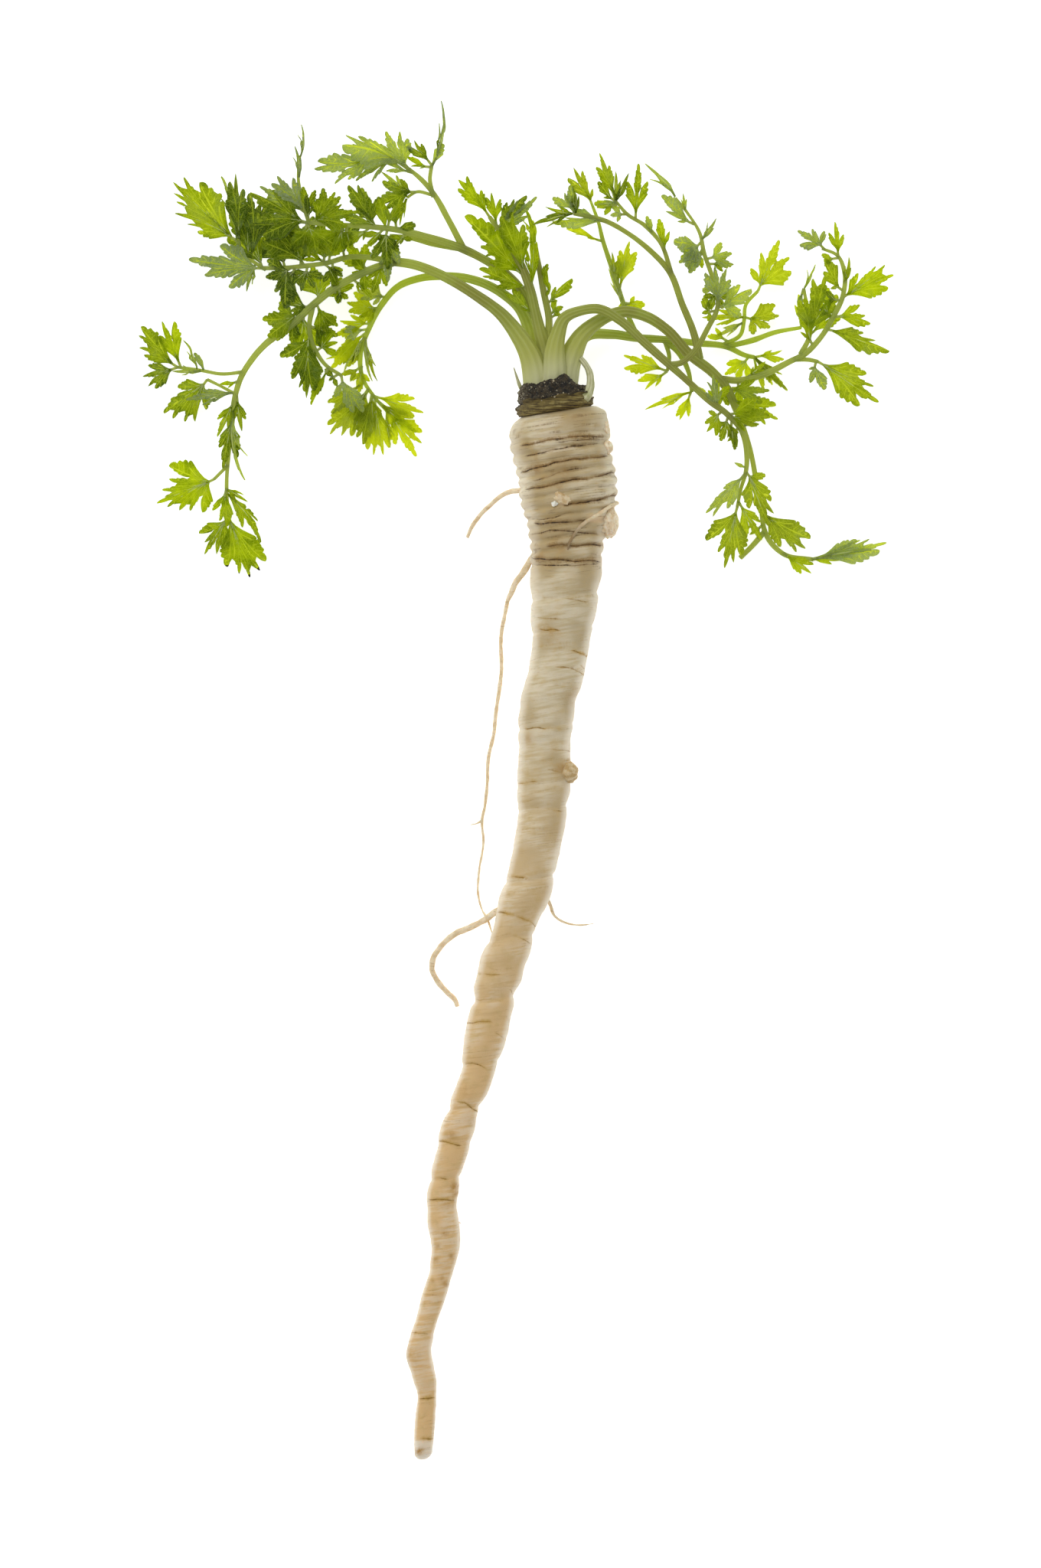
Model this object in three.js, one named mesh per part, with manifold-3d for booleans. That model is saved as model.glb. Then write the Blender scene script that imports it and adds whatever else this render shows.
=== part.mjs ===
// A long ringed root vegetable with its leafy crown, as pulled from the ground and laid on a flat surface.
// Millimetres. +Z is up, +Y runs from the root's tip to the leaves, and the surface it lies on is Z = 0.
// The origin is on that surface, in the middle of the flat strip that the root rests on.
import * as THREE from "three";
import { mergeVertices } from "three/addons/utils/BufferGeometryUtils.js";
import Module from "manifold-3d";

const wasm = await Module();
wasm.setup();

// ---- Driving dimensions ----
const pieceGap = 0.3; // clear space between two pieces that touch
const rootSides = 12;
const rootPressed = 0.4; // how far the round root settles into the surface that flattens it
const flatBelow = 0.6; // skin lower than this is pressed flat on the surface
const creaseDepth = 0.6; // depth of a crease between two rings of the shoulder
const creaseReach = 1.3; // from a crease to the crest of the ring beside it
const ringTilt = 0.14; // rings climb towards +X by this much for each millimetre across
const bladeThickness = 0.7;
const leafArch = 0.1; // rise of a leaf's middle, as a share of its length
const leafWave = 0.06; // random rise and fall of a leaf's lobes, as a share of their length
const lobeHalfAngle = 0.25; // radians from a lobe's tip to its shoulder, seen from the leaf's base
const lobeShoulder = 0.72; // how far out the shoulders are, as a share of the lobe's length
const shoulderRoom = 0.56; // neighbouring lobes further apart than this, in radians, have shoulders
const toothAngle = 0.24; // neighbouring tips closer than this, in radians, are teeth of one lobe
const deepCut = 0.45; // how far out a cut between two lobes ends, as a share of their length
const shallowCut = 0.8; // how far out a notch between two teeth ends
const petioleHalfWidth = 0.5;
const petioleSunk = 0.5; // from the middle of the stalk back to the foot of a leaf
const petioleLength = 1.8; // from the middle of the stalk to where the blade spreads
const slipFold = 0.25; // lift of a slip's halves from its midrib, as a share of the distance from it
const stalkSides = 6;
const twigSides = 4;
const twigRadius = 1.2; // a stalk thinner than this at its start is a twig
const bundledPoints = 9; // route points of a leaf stalk that lie close to its neighbours' stalks
const socketPoints = 3; // route points of a stalk that lie inside the collar
const weldDistance = 1e-4; // corners closer than this are one
const collarSeed = 7; // random play of the collar
const frondSeed = 11; // random play of the first frond's leaves; each later frond takes the next number

// Half outlines of the slips, as shares of the length and of the half width, from the stalk to the tip.
const broad = [[0.42, 1], [0.48, 0.32], [0.76, 0.6]];
const hand = [[0.18, 0.15], [0.64, 1], [0.6, 0.34]];
const slip = [[0.55, 1]];
const slipMiddle = 0.4; // middle of the fan of a slip, as a share of the length

// The root from the shoulder to the tip: Y, X of its middle, radius.
const rootRoute = [
  [66, -0.4, 10.4], [64.9, -0.7, 13.1], [61.6, -0.8, 14], [57.2, -0.4, 14.1], [52.8, 0.3, 14],
  [48.4, 1.5, 14.1], [44, 2.2, 14.1], [39.6, 2.4, 13.4], [35.2, 2.2, 12.2], [30.8, 1.8, 11.2],
  [26.4, 1.5, 10.5], [17.6, 1.3, 10.1], [8.8, 0.8, 9.35], [0, 0.1, 8.25], [-8.8, -1.4, 8.6],
  [-17.6, -4.1, 8.3], [-26.4, -4.6, 7.7], [-35.2, -5.1, 7.5], [-44, -5, 7.4], [-52.8, -5.7, 7],
  [-61.6, -7.5, 6.8], [-68.2, -9.2, 7.6], [-74.8, -10.8, 7.4], [-79.2, -12.4, 6.5], [-88, -15.7, 7.1],
  [-96.8, -18, 6.6], [-105.6, -20.2, 6.2], [-114.4, -21.9, 6.1], [-123.2, -23.8, 5.3],
  [-129.8, -26.2, 5.2], [-136.4, -29.3, 4.9], [-145.2, -30.9, 4.9], [-154, -33.6, 4.5],
  [-160.6, -34.3, 4.3], [-167.2, -33.8, 4.35], [-173.8, -32.8, 3.9], [-180.4, -34.4, 3.6],
  [-189.2, -37, 3.5], [-198, -39.7, 3.4], [-203.5, -41.4, 3.7], [-209, -39.6, 3.4], [-215.6, -38.3, 2.65],
  [-224.4, -39.2, 2.6], [-232.1, -39.5, 2.4], [-234.3, -39.5, 1.5],
];
// Where the root's underside leaves the surface: Y and clearance.
const rootLift = [[66, 1], [52, 0], [-60, 0], [-110, 0.8], [-165, 1.6], [-235, 0.5]];
// Creases, from the shoulder down: Y and share of the full depth.
const creases = [
  [59, 0.8], [55.4, 1], [52.1, 1], [49, 1], [46.2, 0.9], [42.9, 1], [39.6, 1], [36.6, 1], [33.6, 0.9],
  [30.4, 1], [27.4, 0.9], [23.6, 0.8], [13.2, 0.6], [3.7, 0.5], [-24.2, 0.4], [-47.5, 0.4], [-67.8, 0.6],
  [-84.5, 0.5], [-102.3, 0.5], [-120.3, 0.5], [-133.1, 0.5], [-153.6, 0.5],
];
// Rootlets lie along the surface: X, Y, Z, radius.
const rootlets = [
  [[-8, 43, 9, 1.1], [-15, 42.5, 6, 0.8], [-20, 39.5, 3, 0.8], [-24.5, 35, 1.2, 0.7], [-27, 30.5, 0.8, 0.6]],
  [
    [-5, 25, 9, 1.2], [-10.5, 19.5, 7, 0.9], [-13.5, 16.5, 4, 0.85], [-15, 13, 2, 0.8], [-16.5, 4, 0.9, 0.7],
    [-17, -9, 0.7, 0.6], [-19, -23, 0.7, 0.55], [-21, -36, 0.7, 0.5], [-22.5, -51, 0.7, 0.45],
    [-22.5, -62, 0.7, 0.4], [-23.5, -72, 0.8, 0.4], [-22, -77, 1.6, 0.4], [-20.8, -81, 3, 0.4],
  ],
  [
    [-13, -76.5, 6, 1.1], [-19, -77.5, 5, 0.95], [-23, -80, 3.4, 0.9], [-29, -83, 1.8, 0.85],
    [-33.5, -86, 1, 0.8], [-36.5, -89.5, 0.9, 0.8], [-37, -93, 0.8, 0.75], [-34.5, -97.5, 0.8, 0.7],
    [-30, -102, 0.7, 0.6],
  ],
  [[-5.5, -71, 6, 0.7], [-3, -76, 3, 0.5], [1, -79.5, 0.7, 0.45], [9, -80.5, 0.6, 0.4]],
];
// Knobs and scars of the skin: X, Y, Z, radius, and what the radius is multiplied by along each axis.
const knobs = [[12.6, 37.5, 10, 4], [13, 56.8, 13, 2.4], [1.2, -37.5, 8, 2.8]];
const knobShape = [0.8, 1.1, 0.9];

// The crown's collar of old leaf scars: share of the way along it and radius.
const collarStart = 66.3;
const collarLength = 9;
const collarCentre = [-1.8, 13.4]; // X and Z
const collarProfile = [
  [0, 9.9], [0.1, 11], [0.3, 10.9], [0.4, 10.1], [0.52, 10.9], [0.72, 10.7], [0.86, 10.1], [1, 8.6],
];
const collarSides = 14;
const collarRoughness = 0.06; // random play of the collar's radius

// The withered stalk: X, Y, Z, radius.
const witheredStalk = [
  [4.6, 68.6, 14.5, 0.9], [7.8, 71.2, 16.4, 0.9], [9.1, 76.4, 16.8, 0.9], [8.5, 79, 16.6, 0.85],
  [6.8, 81.2, 16.4, 0.7], [5, 83, 17.4, 0.4],
];

// The fronds. Stalks: routes of X, Y, Z, radius. Leaves: X and Y of the base, rise of the lobes over the
// base, and X and Y of each lobe's or tooth's tip. Slips, which are narrow leaves: outline, X and Y of the
// base and of the tip, rise of the tip over the base, width as a share of the length, and roll in degrees.
const fronds = {
  frond_left_front: {
    stalks: [
      [
        [-7, 70, 14.5, 2.9], [-7.5, 76.5, 15, 3.1], [-9, 82, 16, 2.91], [-12.5, 88, 17.5, 2.31],
        [-17, 93.5, 18, 1.79], [-25, 99.5, 18, 1.51], [-33.5, 104.5, 17.5, 1.37], [-42.5, 108, 16.5, 1.3],
        [-50, 109, 15.5, 1.15],
      ],
      [
        [-47, 108.5, 16, 0.94], [-55.5, 110, 17, 0.77], [-61, 110, 17.5, 0.77],
        [-66.5, 108.5, 17.5, 0.68], [-73.5, 107.5, 17, 0.68], [-80, 107, 16, 0.59],
        [-85.5, 107, 15, 0.59],
      ],
      [
        [-84.5, 106.5, 15.2, 0.51], [-90, 110.5, 14.5, 0.51], [-93, 115, 14.5, 0.42],
      ],
      [
        [-47, 109, 15.8, 1.19], [-57, 105.5, 15.5, 1.1], [-64.5, 101.5, 15, 1.02],
        [-71, 96.5, 14.5, 1.02], [-77.5, 90.5, 13.5, 0.94], [-84.5, 85.5, 12.5, 0.94],
        [-89, 80.5, 11, 0.85], [-91.5, 76.5, 10, 0.85], [-93.5, 70.5, 8.5, 0.77],
        [-94.5, 61.5, 7.5, 0.68], [-95.5, 53, 6.5, 0.59], [-96, 44, 5, 0.51], [-95.5, 36.5, 3.5, 0.51],
      ],
      [
        [-91, 77.5, 10.3, 0.59], [-97.5, 77, 9, 0.51], [-103, 78, 8, 0.51], [-110, 79, 7, 0.42],
      ],
      [
        [-95.5, 51, 6.3, 0.51], [-99.5, 47, 5.5, 0.42],
      ],
      [
        [-71, 97, 14.5, 0.77], [-72, 89, 14, 0.68], [-70.5, 84, 13, 0.59], [-67.5, 79.5, 12, 0.51],
        [-63, 76.5, 11, 0.51],
      ],
      [
        [-93, 71, 8.6, 0.51], [-97.5, 73.5, 7.5, 0.42], [-101.5, 75.5, 6.5, 0.42],
      ],
    ],
    leaves: [
      [-93, 115, 1, [[-103.5, 131.5], [-108, 133], [-111, 131.5], [-111, 128.5], [-110, 126],
        [-110.5, 122.5], [-107, 119.5], [-104, 117.5]]],
      [-92, 113.5, 5.5, [[-94.5, 131.5], [-93, 134], [-91, 129.5]]],
      [-89.5, 110, -2.5, [[-94.5, 124.5], [-90.5, 126.5], [-86.5, 122]]],
      [-85.5, 107, 0, [[-97.5, 113.5], [-106.5, 109.5], [-102, 105], [-95, 101.5]]],
      [-77, 107.5, -2, [[-84, 109.5], [-84.5, 104.5], [-81.5, 101], [-79, 95.5]]],
      [-73.5, 108, 4, [[-85.5, 114], [-84, 122], [-78, 123.5], [-73.5, 118.5]]],
      [-68, 108.5, -1, [[-64, 102], [-62.5, 106.5]]], [-66.5, 108.5, 3, [[-63, 112], [-69, 114]]],
      [-75, 93, 0, [[-80.5, 97.5], [-85.5, 92.5], [-84, 87.5]]],
      [-72.5, 88, -2, [[-80.5, 82], [-77, 75.5], [-75, 73], [-73, 70], [-71, 72]]],
      [-70, 97, -2, [[-64, 90.5], [-66.5, 88], [-69.5, 88]]], [-64, 102, -3, [[-64, 97], [-62, 99.5]]],
      [-54.5, 106.5, -1, [[-59.5, 110], [-60, 104.5], [-56, 101]]],
      [-66.5, 79, -2, [[-71.5, 68], [-70, 71]]], [-63, 76.5, -2, [[-65, 70.5], [-59.5, 66], [-57, 66]]],
      [-110, 79, 2, [[-120.5, 90.5], [-121, 88], [-121, 84.5], [-119.5, 82.5]]],
      [-109, 79, 3, [[-115, 88], [-114.5, 92], [-111, 92]]],
      [-110, 79, -1, [[-118.5, 79.5], [-120, 76.5], [-118.5, 73.5], [-116.5, 73]]],
      [-101.5, 75.5, -2, [[-110, 73.5], [-114, 66], [-111.5, 64.5], [-108, 63.5], [-105, 63.5],
        [-102, 67]]],
      [-93.5, 69.5, -1, [[-98.5, 64], [-98.5, 59], [-95.5, 60.5]]],
      [-94, 65, -1, [[-98, 56], [-97, 50], [-93, 53]]],
      [-99.5, 47, -1, [[-112.5, 51], [-112.5, 47], [-114.5, 44], [-116, 40], [-113, 39], [-109.5, 38],
        [-106.5, 38], [-103, 37.5]]],
      [-96, 44.5, -1, [[-100, 38], [-98, 35], [-96, 33.5]]],
      [-95.5, 36.5, -3, [[-104, 31.5], [-102.5, 29], [-102.5, 25.5], [-99, 25.5], [-96.5, 27]]],
      [-95.5, 36, -4, [[-96, 22], [-92.5, 20], [-89.5, 19], [-86.5, 21], [-85, 23.5]]],
    ],
    slips: [
      [hand, -93.5, 116, -97.5, 133, 4, 0.22, 50], [hand, -103, 78, -111.5, 78, 1, 0.3, -30],
      [hand, -104.5, 78, -108.5, 86.5, 4, 0.22, 60], [hand, -94, 71.5, -107.5, 69.5, 1, 0.3, 10],
      [hand, -93.5, 67, -90.5, 46.5, 2, 0.17, 55], [hand, -95.5, 44, -90, 40, 1, 0.45, -25],
      [hand, -95.5, 43, -86, 29, 1, 0.28, -30],
    ],
  },
  frond_left_upper: {
    stalks: [
      [
        [-4.5, 70, 8, 1.5], [-5, 76.5, 7.5, 1.7], [-5.5, 83, 7.2, 1.73], [-7, 90, 7.5, 1.5],
        [-9.5, 97.5, 9, 1.31], [-13.5, 103.5, 11, 1.22], [-18.5, 107.5, 13, 1.22], [-24, 110.5, 16, 1.15],
        [-28.5, 112.5, 18.5, 1.15], [-38, 115.5, 22, 0.97], [-47, 117.5, 25, 0.86],
        [-58, 118.5, 26.5, 0.72], [-66.5, 119, 26, 0.65], [-72.5, 119.5, 25, 0.58],
      ],
      [
        [-26.5, 112, 17.5, 0.77], [-36, 113.5, 18.5, 0.68], [-43.5, 115.5, 19.3, 0.68],
        [-49, 116, 20, 0.51],
      ],
      [
        [-28, 112.5, 18.2, 0.94], [-32.5, 121, 20, 0.85], [-36.5, 128, 21, 0.77], [-40, 132, 22, 0.68],
        [-43.5, 135, 22, 0.51],
      ],
      [
        [-36.5, 127, 21, 0.68], [-37.5, 132, 22, 0.59], [-37, 136, 23, 0.51],
      ],
      [
        [-36.5, 127.5, 20.8, 0.51], [-41.5, 128.5, 20, 0.42], [-44, 127, 19, 0.42],
      ],
      [
        [-43, 134.5, 22, 0.51], [-48, 137.5, 23, 0.42], [-52.5, 138, 23, 0.38],
      ],
      [
        [-72, 119.5, 25.2, 0.59], [-74, 126, 26, 0.51], [-75, 133, 27, 0.42], [-74.5, 138.5, 27, 0.38],
      ],
    ],
    leaves: [
      [-43.5, 135, 3, [[-62.5, 141.5], [-61.5, 144.5], [-58, 144], [-50, 145.5], [-46, 145.5],
        [-44, 143.5]]],
      [-52.5, 138, 0, [[-69.5, 137], [-70.5, 135], [-64.5, 130.5], [-61, 132]]],
      [-37, 136, 2, [[-44, 141.5], [-42, 143], [-40, 142]]],
      [-41.5, 128.5, 2, [[-46, 132], [-51, 131.5], [-53.5, 124], [-50, 124]]],
      [-49.5, 118.5, 3, [[-50, 123.5], [-46, 124.5]]],
      [-53, 118.5, 3, [[-60.5, 130], [-58, 130], [-54.5, 126]]],
      [-54.5, 118.5, -3, [[-62.5, 114.5], [-60.5, 113], [-56.5, 114.5]]],
      [-49, 116, -2, [[-54.5, 110], [-52, 108], [-49.5, 103], [-46.5, 108]]],
      [-71.5, 119.5, 3, [[-68, 127], [-64.5, 128], [-62.5, 124.5], [-57.5, 122.5], [-61, 118.5]]],
      [-73, 121, 4, [[-73.5, 129.5], [-70, 128.5]]],
      [-73.5, 122, 3, [[-82.5, 130.5], [-81, 132.5], [-76.5, 132]]],
      [-72.5, 119.5, 3, [[-80, 124.5], [-82.5, 128.5], [-88.5, 128], [-87, 119.5], [-85, 115.5]]],
      [-72.5, 119, -2, [[-77, 113.5], [-70, 110.5], [-65.5, 112], [-62.5, 112]]],
    ],
    slips: [
      [hand, -37.5, 135.5, -33.5, 154, 3, 0.17, 60], [hand, -44, 127, -46, 119, -2, 0.22, 30],
      [hand, -75, 132, -75.5, 141, 2, 0.25, 40], [hand, -74.5, 138, -73.5, 147, 3, 0.18, 60],
    ],
  },
  frond_left_lower: {
    stalks: [
      [
        [-8, 70, 10, 1.6], [-8.5, 76.5, 9.5, 1.9], [-9, 82, 9.5, 1.95], [-9, 88, 10.3, 1.76],
        [-12, 95.5, 11, 1.42], [-18.5, 101, 10.5, 1.3], [-25.5, 104, 9.5, 1.22], [-32.5, 105, 8.5, 1.15],
        [-40.5, 104.5, 7.5, 1.08], [-47, 102, 6.5, 0.94], [-51.5, 97, 5.8, 0.86], [-55, 90.5, 5, 0.72],
        [-57.5, 83.5, 4.5, 0.65], [-57, 76, 3.8, 0.58], [-53.5, 70.5, 3, 0.5], [-49.5, 66, 2.5, 0.43],
      ],
    ],
    leaves: [
      [-52, 96, 1, [[-59.5, 100.5], [-61.5, 97.5], [-61, 95], [-55.5, 93.5]]],
      [-54.5, 91.5, 0, [[-60.5, 94], [-63.5, 92.5], [-64.5, 88.5]]],
      [-55.5, 89.5, 0, [[-64, 84], [-67.5, 81.5], [-66, 79]]],
      [-57, 85.5, -1, [[-62.5, 80], [-60, 80.5]]], [-57.5, 79.5, 0, [[-63, 77], [-60.5, 75]]],
      [-56.5, 75, 0, [[-67, 69], [-66, 66]]],
      [-55.5, 73, -1, [[-67, 62.5], [-66.5, 60], [-63, 59.5], [-60.5, 59.5]]],
      [-54.5, 71.5, 0, [[-58.5, 59], [-57, 57]]],
      [-53.5, 70.5, -1, [[-55.5, 55.5], [-54, 54], [-51, 54], [-49.5, 56]]],
      [-53.5, 71, 0, [[-42, 70], [-39.5, 66], [-42, 65]]],
      [-49.5, 66, 0, [[-40, 60.5], [-40, 57.5], [-41.5, 53.5], [-47.5, 57]]],
    ],
    slips: [
      [hand, -56, 88, -62, 77, 2, 0.2, 45], [hand, -50, 66.5, -48.5, 56, 1, 0.2, 40],
    ],
  },
  frond_centre: {
    stalks: [
      [
        [-3, 70, 12, 1.7], [-3.5, 76.5, 12, 1.9], [-4.5, 83, 13.5, 2.01], [-6, 88.5, 16, 1.72],
        [-7.5, 94.5, 18.5, 1.42], [-9, 101, 20, 1.3], [-11.5, 107.5, 20.5, 1.15], [-15, 113.5, 20, 0.94],
        [-18.5, 118.5, 19, 0.79], [-20.5, 121.5, 18, 0.58],
      ],
      [
        [-4.5, 84, 13.8, 1.1], [-3.5, 91.5, 15, 1.02], [-5, 100, 16, 0.94], [-6.5, 108, 16, 0.77],
        [-7.5, 114, 15.5, 0.59],
      ],
    ],
    leaves: [
      [-20.5, 121.5, 3, [[-29.5, 129.5], [-29.5, 132], [-27, 133], [-23, 129]]],
      [-18.5, 118.5, 2, [[-21.5, 127], [-20, 128.5], [-17.5, 126.5]]],
      [-10.5, 104.5, 3, [[-20.5, 108.5], [-23, 113], [-27.5, 121.5]]],
      [-10.5, 105, 5, [[-17, 121.5], [-14, 122], [-11, 119]]],
      [-9, 101, -1, [[-18.5, 101.5], [-22.5, 104.5], [-23.5, 106.5]]],
      [-7, 93.5, 0, [[-12, 95.5], [-16.5, 100], [-14, 101]]],
      [-4.5, 96.5, 2, [[-1.5, 101.5], [3, 104], [-1, 97.5]]], [-3.5, 92.5, 0, [[0, 96], [-0.5, 93.5]]],
    ],
    slips: [
      [hand, -18, 118, -7, 127, 3, 0.36, 20], [hand, -8.5, 100.5, -9.5, 122, 3, 0.22, 30],
      [hand, -7.5, 114, -10.5, 124.5, -1, 0.3, 30],
    ],
  },
  frond_right_front: {
    stalks: [
      [
        [-2.5, 70, 16, 2.5], [-2, 76.5, 17, 2.8], [-2, 82.5, 18, 2.71], [-1, 88, 19.5, 2.09],
        [1, 92.5, 21, 1.64], [5.5, 94.5, 22, 1.4], [10.5, 95, 22.5, 1.37], [17, 91.5, 23, 1.3],
        [23.5, 85.5, 24, 1.22], [29, 80.5, 25, 1.15], [33, 77, 25, 1.01], [37.5, 73, 23.5, 0.94],
        [42, 69, 22, 0.94], [47.5, 65, 19, 0.86], [51.5, 60.5, 16.5, 0.79], [53, 55, 13.5, 0.72],
        [53, 49.5, 11, 0.65], [51.5, 44, 9, 0.5], [50.5, 39, 7.5, 0.43],
      ],
      [
        [30.5, 79, 25, 0.85], [34, 79.5, 25.5, 0.85], [38, 83, 26, 0.85], [41.5, 89, 27, 0.77],
        [44.5, 95.5, 28, 0.68], [43, 103.5, 29, 0.59], [40.5, 111, 29, 0.59], [39.5, 116, 28, 0.51],
        [36, 122, 27, 0.42], [32.5, 126.5, 26, 0.38],
      ],
    ],
    leaves: [
      [44.5, 95.5, 3, [[41, 105], [43.5, 107], [47, 106], [48, 103]]],
      [44.5, 95, 0, [[51, 101.5], [54, 100.5], [51, 92.5]]],
      [41.5, 109, 1, [[45.5, 113.5], [48.5, 110.5], [48.5, 107]]],
      [40, 114, 1, [[32, 114], [36, 106.5], [38.5, 106.5]]],
      [38, 119, 2, [[28.5, 127], [29.5, 122.5], [33, 119.5]]],
      [46, 66, -1, [[42, 66], [41, 62.5], [41.5, 60], [44, 59]]],
      [47.5, 65, 1, [[55.5, 69.5], [54.5, 63.5]]], [48.5, 63.5, -2, [[47.5, 58.5], [49.5, 55]]],
      [52.5, 48.5, 0, [[46.5, 44], [41.5, 37], [43.5, 36], [47.5, 38.5]]],
      [53, 49, -1, [[58.5, 48], [60, 40.5], [61, 37], [59.5, 33.5], [54, 38.5]]],
      [50.5, 39, -1, [[41.5, 29.5], [45, 26], [47, 21.5], [49.5, 23], [51.5, 25]]],
      [51, 40.5, -1, [[53, 30], [57.5, 29.5], [57, 34.5]]],
    ],
    slips: [
      [slip, 43.5, 101.5, 40, 99.5, -2, 0.6, 0], [hand, 40, 114.5, 44, 120.5, 2, 0.3, 30],
      [hand, 35.5, 123, 34.5, 128, 2, 0.3, 0], [hand, 32.5, 126.5, 23.5, 136, 2, 0.25, 40],
      [broad, 44, 68, 43, 76.5, 4, 0.45, 20],
    ],
  },
  frond_right_middle: {
    stalks: [
      [
        [1, 70, 12.5, 2.5], [1.5, 76.5, 13, 2.9], [3, 82.5, 14, 2.9], [6, 88, 15, 2.33],
        [11, 92, 16, 1.83], [18, 94.5, 16.5, 1.58], [24.5, 93, 16.5, 1.51], [30, 89.5, 16.5, 1.44],
        [36.5, 82.5, 16, 1.44], [43.5, 77, 15, 1.37], [47.5, 72.5, 14, 1.22], [50, 67, 12, 1.01],
        [52.5, 60.5, 9.5, 0.79], [54.5, 54, 7.5, 0.72], [56, 46, 6, 0.72], [57.5, 37.5, 5, 0.65],
        [58.5, 32, 4.2, 0.72], [60.5, 28.5, 3.2, 0.79], [64, 25.5, 1.9, 0.72], [72.5, 24, 0.85, 0.58],
      ],
      [
        [58.5, 32, 4.1, 0.77], [55.5, 28.5, 2.6, 0.77], [51.5, 24.5, 1.2, 0.68],
      ],
      [
        [45, 75.5, 14.6, 0.94], [51, 75, 13.2, 0.94], [58.5, 77, 12.4, 0.94], [65.5, 80.5, 12, 0.85],
        [69.5, 82.5, 12, 0.85], [74, 87, 12.5, 0.77], [78, 93.5, 13.5, 0.77], [80.5, 99, 14.5, 0.68],
        [81, 105.5, 15.5, 0.59], [79, 110.5, 16.5, 0.51], [74.5, 112.5, 17.5, 0.42],
      ],
      [
        [68.5, 82.5, 12, 0.77], [71, 87.5, 11, 0.68], [70.5, 95.5, 10, 0.59], [69.5, 101.5, 9, 0.42],
      ],
      [
        [66.5, 81, 12, 0.68], [71, 81, 10.8, 0.59], [73.5, 80.5, 10, 0.51],
      ],
      [
        [39.5, 81, 15.7, 1.19], [38, 88, 15, 1.02], [34.5, 97, 14, 0.94], [31, 106, 13.5, 0.85],
        [25.5, 112, 14, 0.77], [19, 117, 15, 0.68], [12.5, 120.5, 16, 0.68], [3.5, 122.5, 17, 0.51],
      ],
      [
        [31.5, 105.5, 13.5, 0.68], [28.5, 114, 15, 0.59], [24, 119, 17, 0.59], [18.5, 122.5, 19, 0.51],
        [15.5, 126, 20, 0.42],
      ],
    ],
    leaves: [
      [73.5, 80.5, -2, [[87.5, 77], [89.5, 73.5], [91, 69], [85.5, 68]]],
      [73, 80.5, -2, [[71, 78.5], [71.5, 74.5], [75.5, 72.5]]],
      [81, 98, 1, [[85, 105.5], [90, 107.5], [92.5, 108], [95, 105], [93.5, 101.5]]],
      [78, 93, -1, [[85.5, 96.5], [87, 93.5], [88.5, 91.5]]],
      [76, 89.5, -2, [[86.5, 88.5], [90, 86.5], [94, 83.5]]],
      [79.5, 110, 3, [[76.5, 117], [78, 120], [80.5, 116.5]]],
      [75.5, 112.5, 2, [[67.5, 117.5], [68, 113.5], [71.5, 118], [75, 117.5]]],
      [81, 100.5, 2, [[77, 101], [75, 106], [75, 109.5]]],
      [71, 87.5, 2, [[68, 98], [72, 104], [75.5, 105], [79, 99.5]]],
      [47.5, 72.5, 1, [[55.5, 75], [59.5, 72], [57.5, 68.5]]],
      [49, 70, -2, [[61.5, 68], [62, 64], [58.5, 62.5], [55, 62.5]]],
      [58.5, 38, 1, [[63, 27.5], [67.5, 26], [70, 27], [71.5, 30]]],
      [63.5, 26, -0.6, [[69, 20], [72, 20], [72.5, 22.5]]],
      [13, 120, -1, [[2.5, 124], [1, 121.5], [-2.5, 120.5]]],
      [15.5, 126, 2, [[10, 135.5], [11, 139.5], [13.5, 136]]],
      [21, 120.5, 3, [[19, 131.5], [22, 136.5], [24.5, 131.5]]],
      [29.5, 111.5, 2, [[28, 121], [31, 117.5]]],
    ],
    slips: [
      [hand, 81, 102.5, 82.5, 110, 2, 0.3, 30], [hand, 69.5, 101.5, 72.5, 108.5, 2, 0.22, 45],
      [hand, 71.5, 24, 93.5, 29, 0.6, 0.2, 10], [hand, 71.5, 23.5, 81.5, 24, 0, 0.32, -10],
      [hand, 3.5, 122.5, -8.5, 119, 1, 0.28, 20], [hand, 4, 122.5, 3.5, 130, 3, 0.35, 30],
      [hand, 15.5, 126, 19, 134, 2, 0.3, 30], [hand, 16, 125.5, 10, 125, 0, 0.35, 0],
      [slip, 26, 117, 24.5, 121.5, 2, 0.5, 0],
    ],
  },
  frond_right_back: {
    stalks: [
      [
        [0.5, 70, 8, 1.19], [1, 76.5, 7.5, 1.36], [3.5, 83, 7, 1.44], [7.5, 88, 6.5, 1.44],
        [14.5, 88.5, 6.3, 1.36], [21.5, 87.5, 6, 1.19], [30, 87, 5.6, 1.02], [39, 86, 5.2, 0.94],
        [47.5, 85, 4.8, 0.85], [53, 82.5, 4.2, 0.68], [55.5, 82, 3.8, 0.59],
      ],
      [
        [46.5, 85.5, 4.8, 0.68], [51.5, 88.5, 4.5, 0.59], [52.5, 92.5, 4, 0.59], [53, 97, 4.3, 0.51],
        [56.5, 101, 4.8, 0.42],
      ],
      [
        [47.5, 85, 4.8, 0.77], [55.5, 87, 5, 0.77], [61, 89, 5, 0.68], [69, 90.5, 5, 0.51],
      ],
      [
        [29, 87, 5.6, 0.77], [33.5, 83.5, 5.2, 0.77], [36.5, 78, 4.6, 0.68], [37.5, 72, 3.8, 0.51],
      ],
      [
        [30, 86, 5.5, 0.68], [31, 82.5, 5, 0.59], [30.5, 78, 4.4, 0.42],
      ],
      [
        [22, 87.5, 6, 0.77], [18.5, 95.5, 6.5, 0.68], [14.5, 107.5, 8, 0.68], [12, 115, 9, 0.59],
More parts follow.
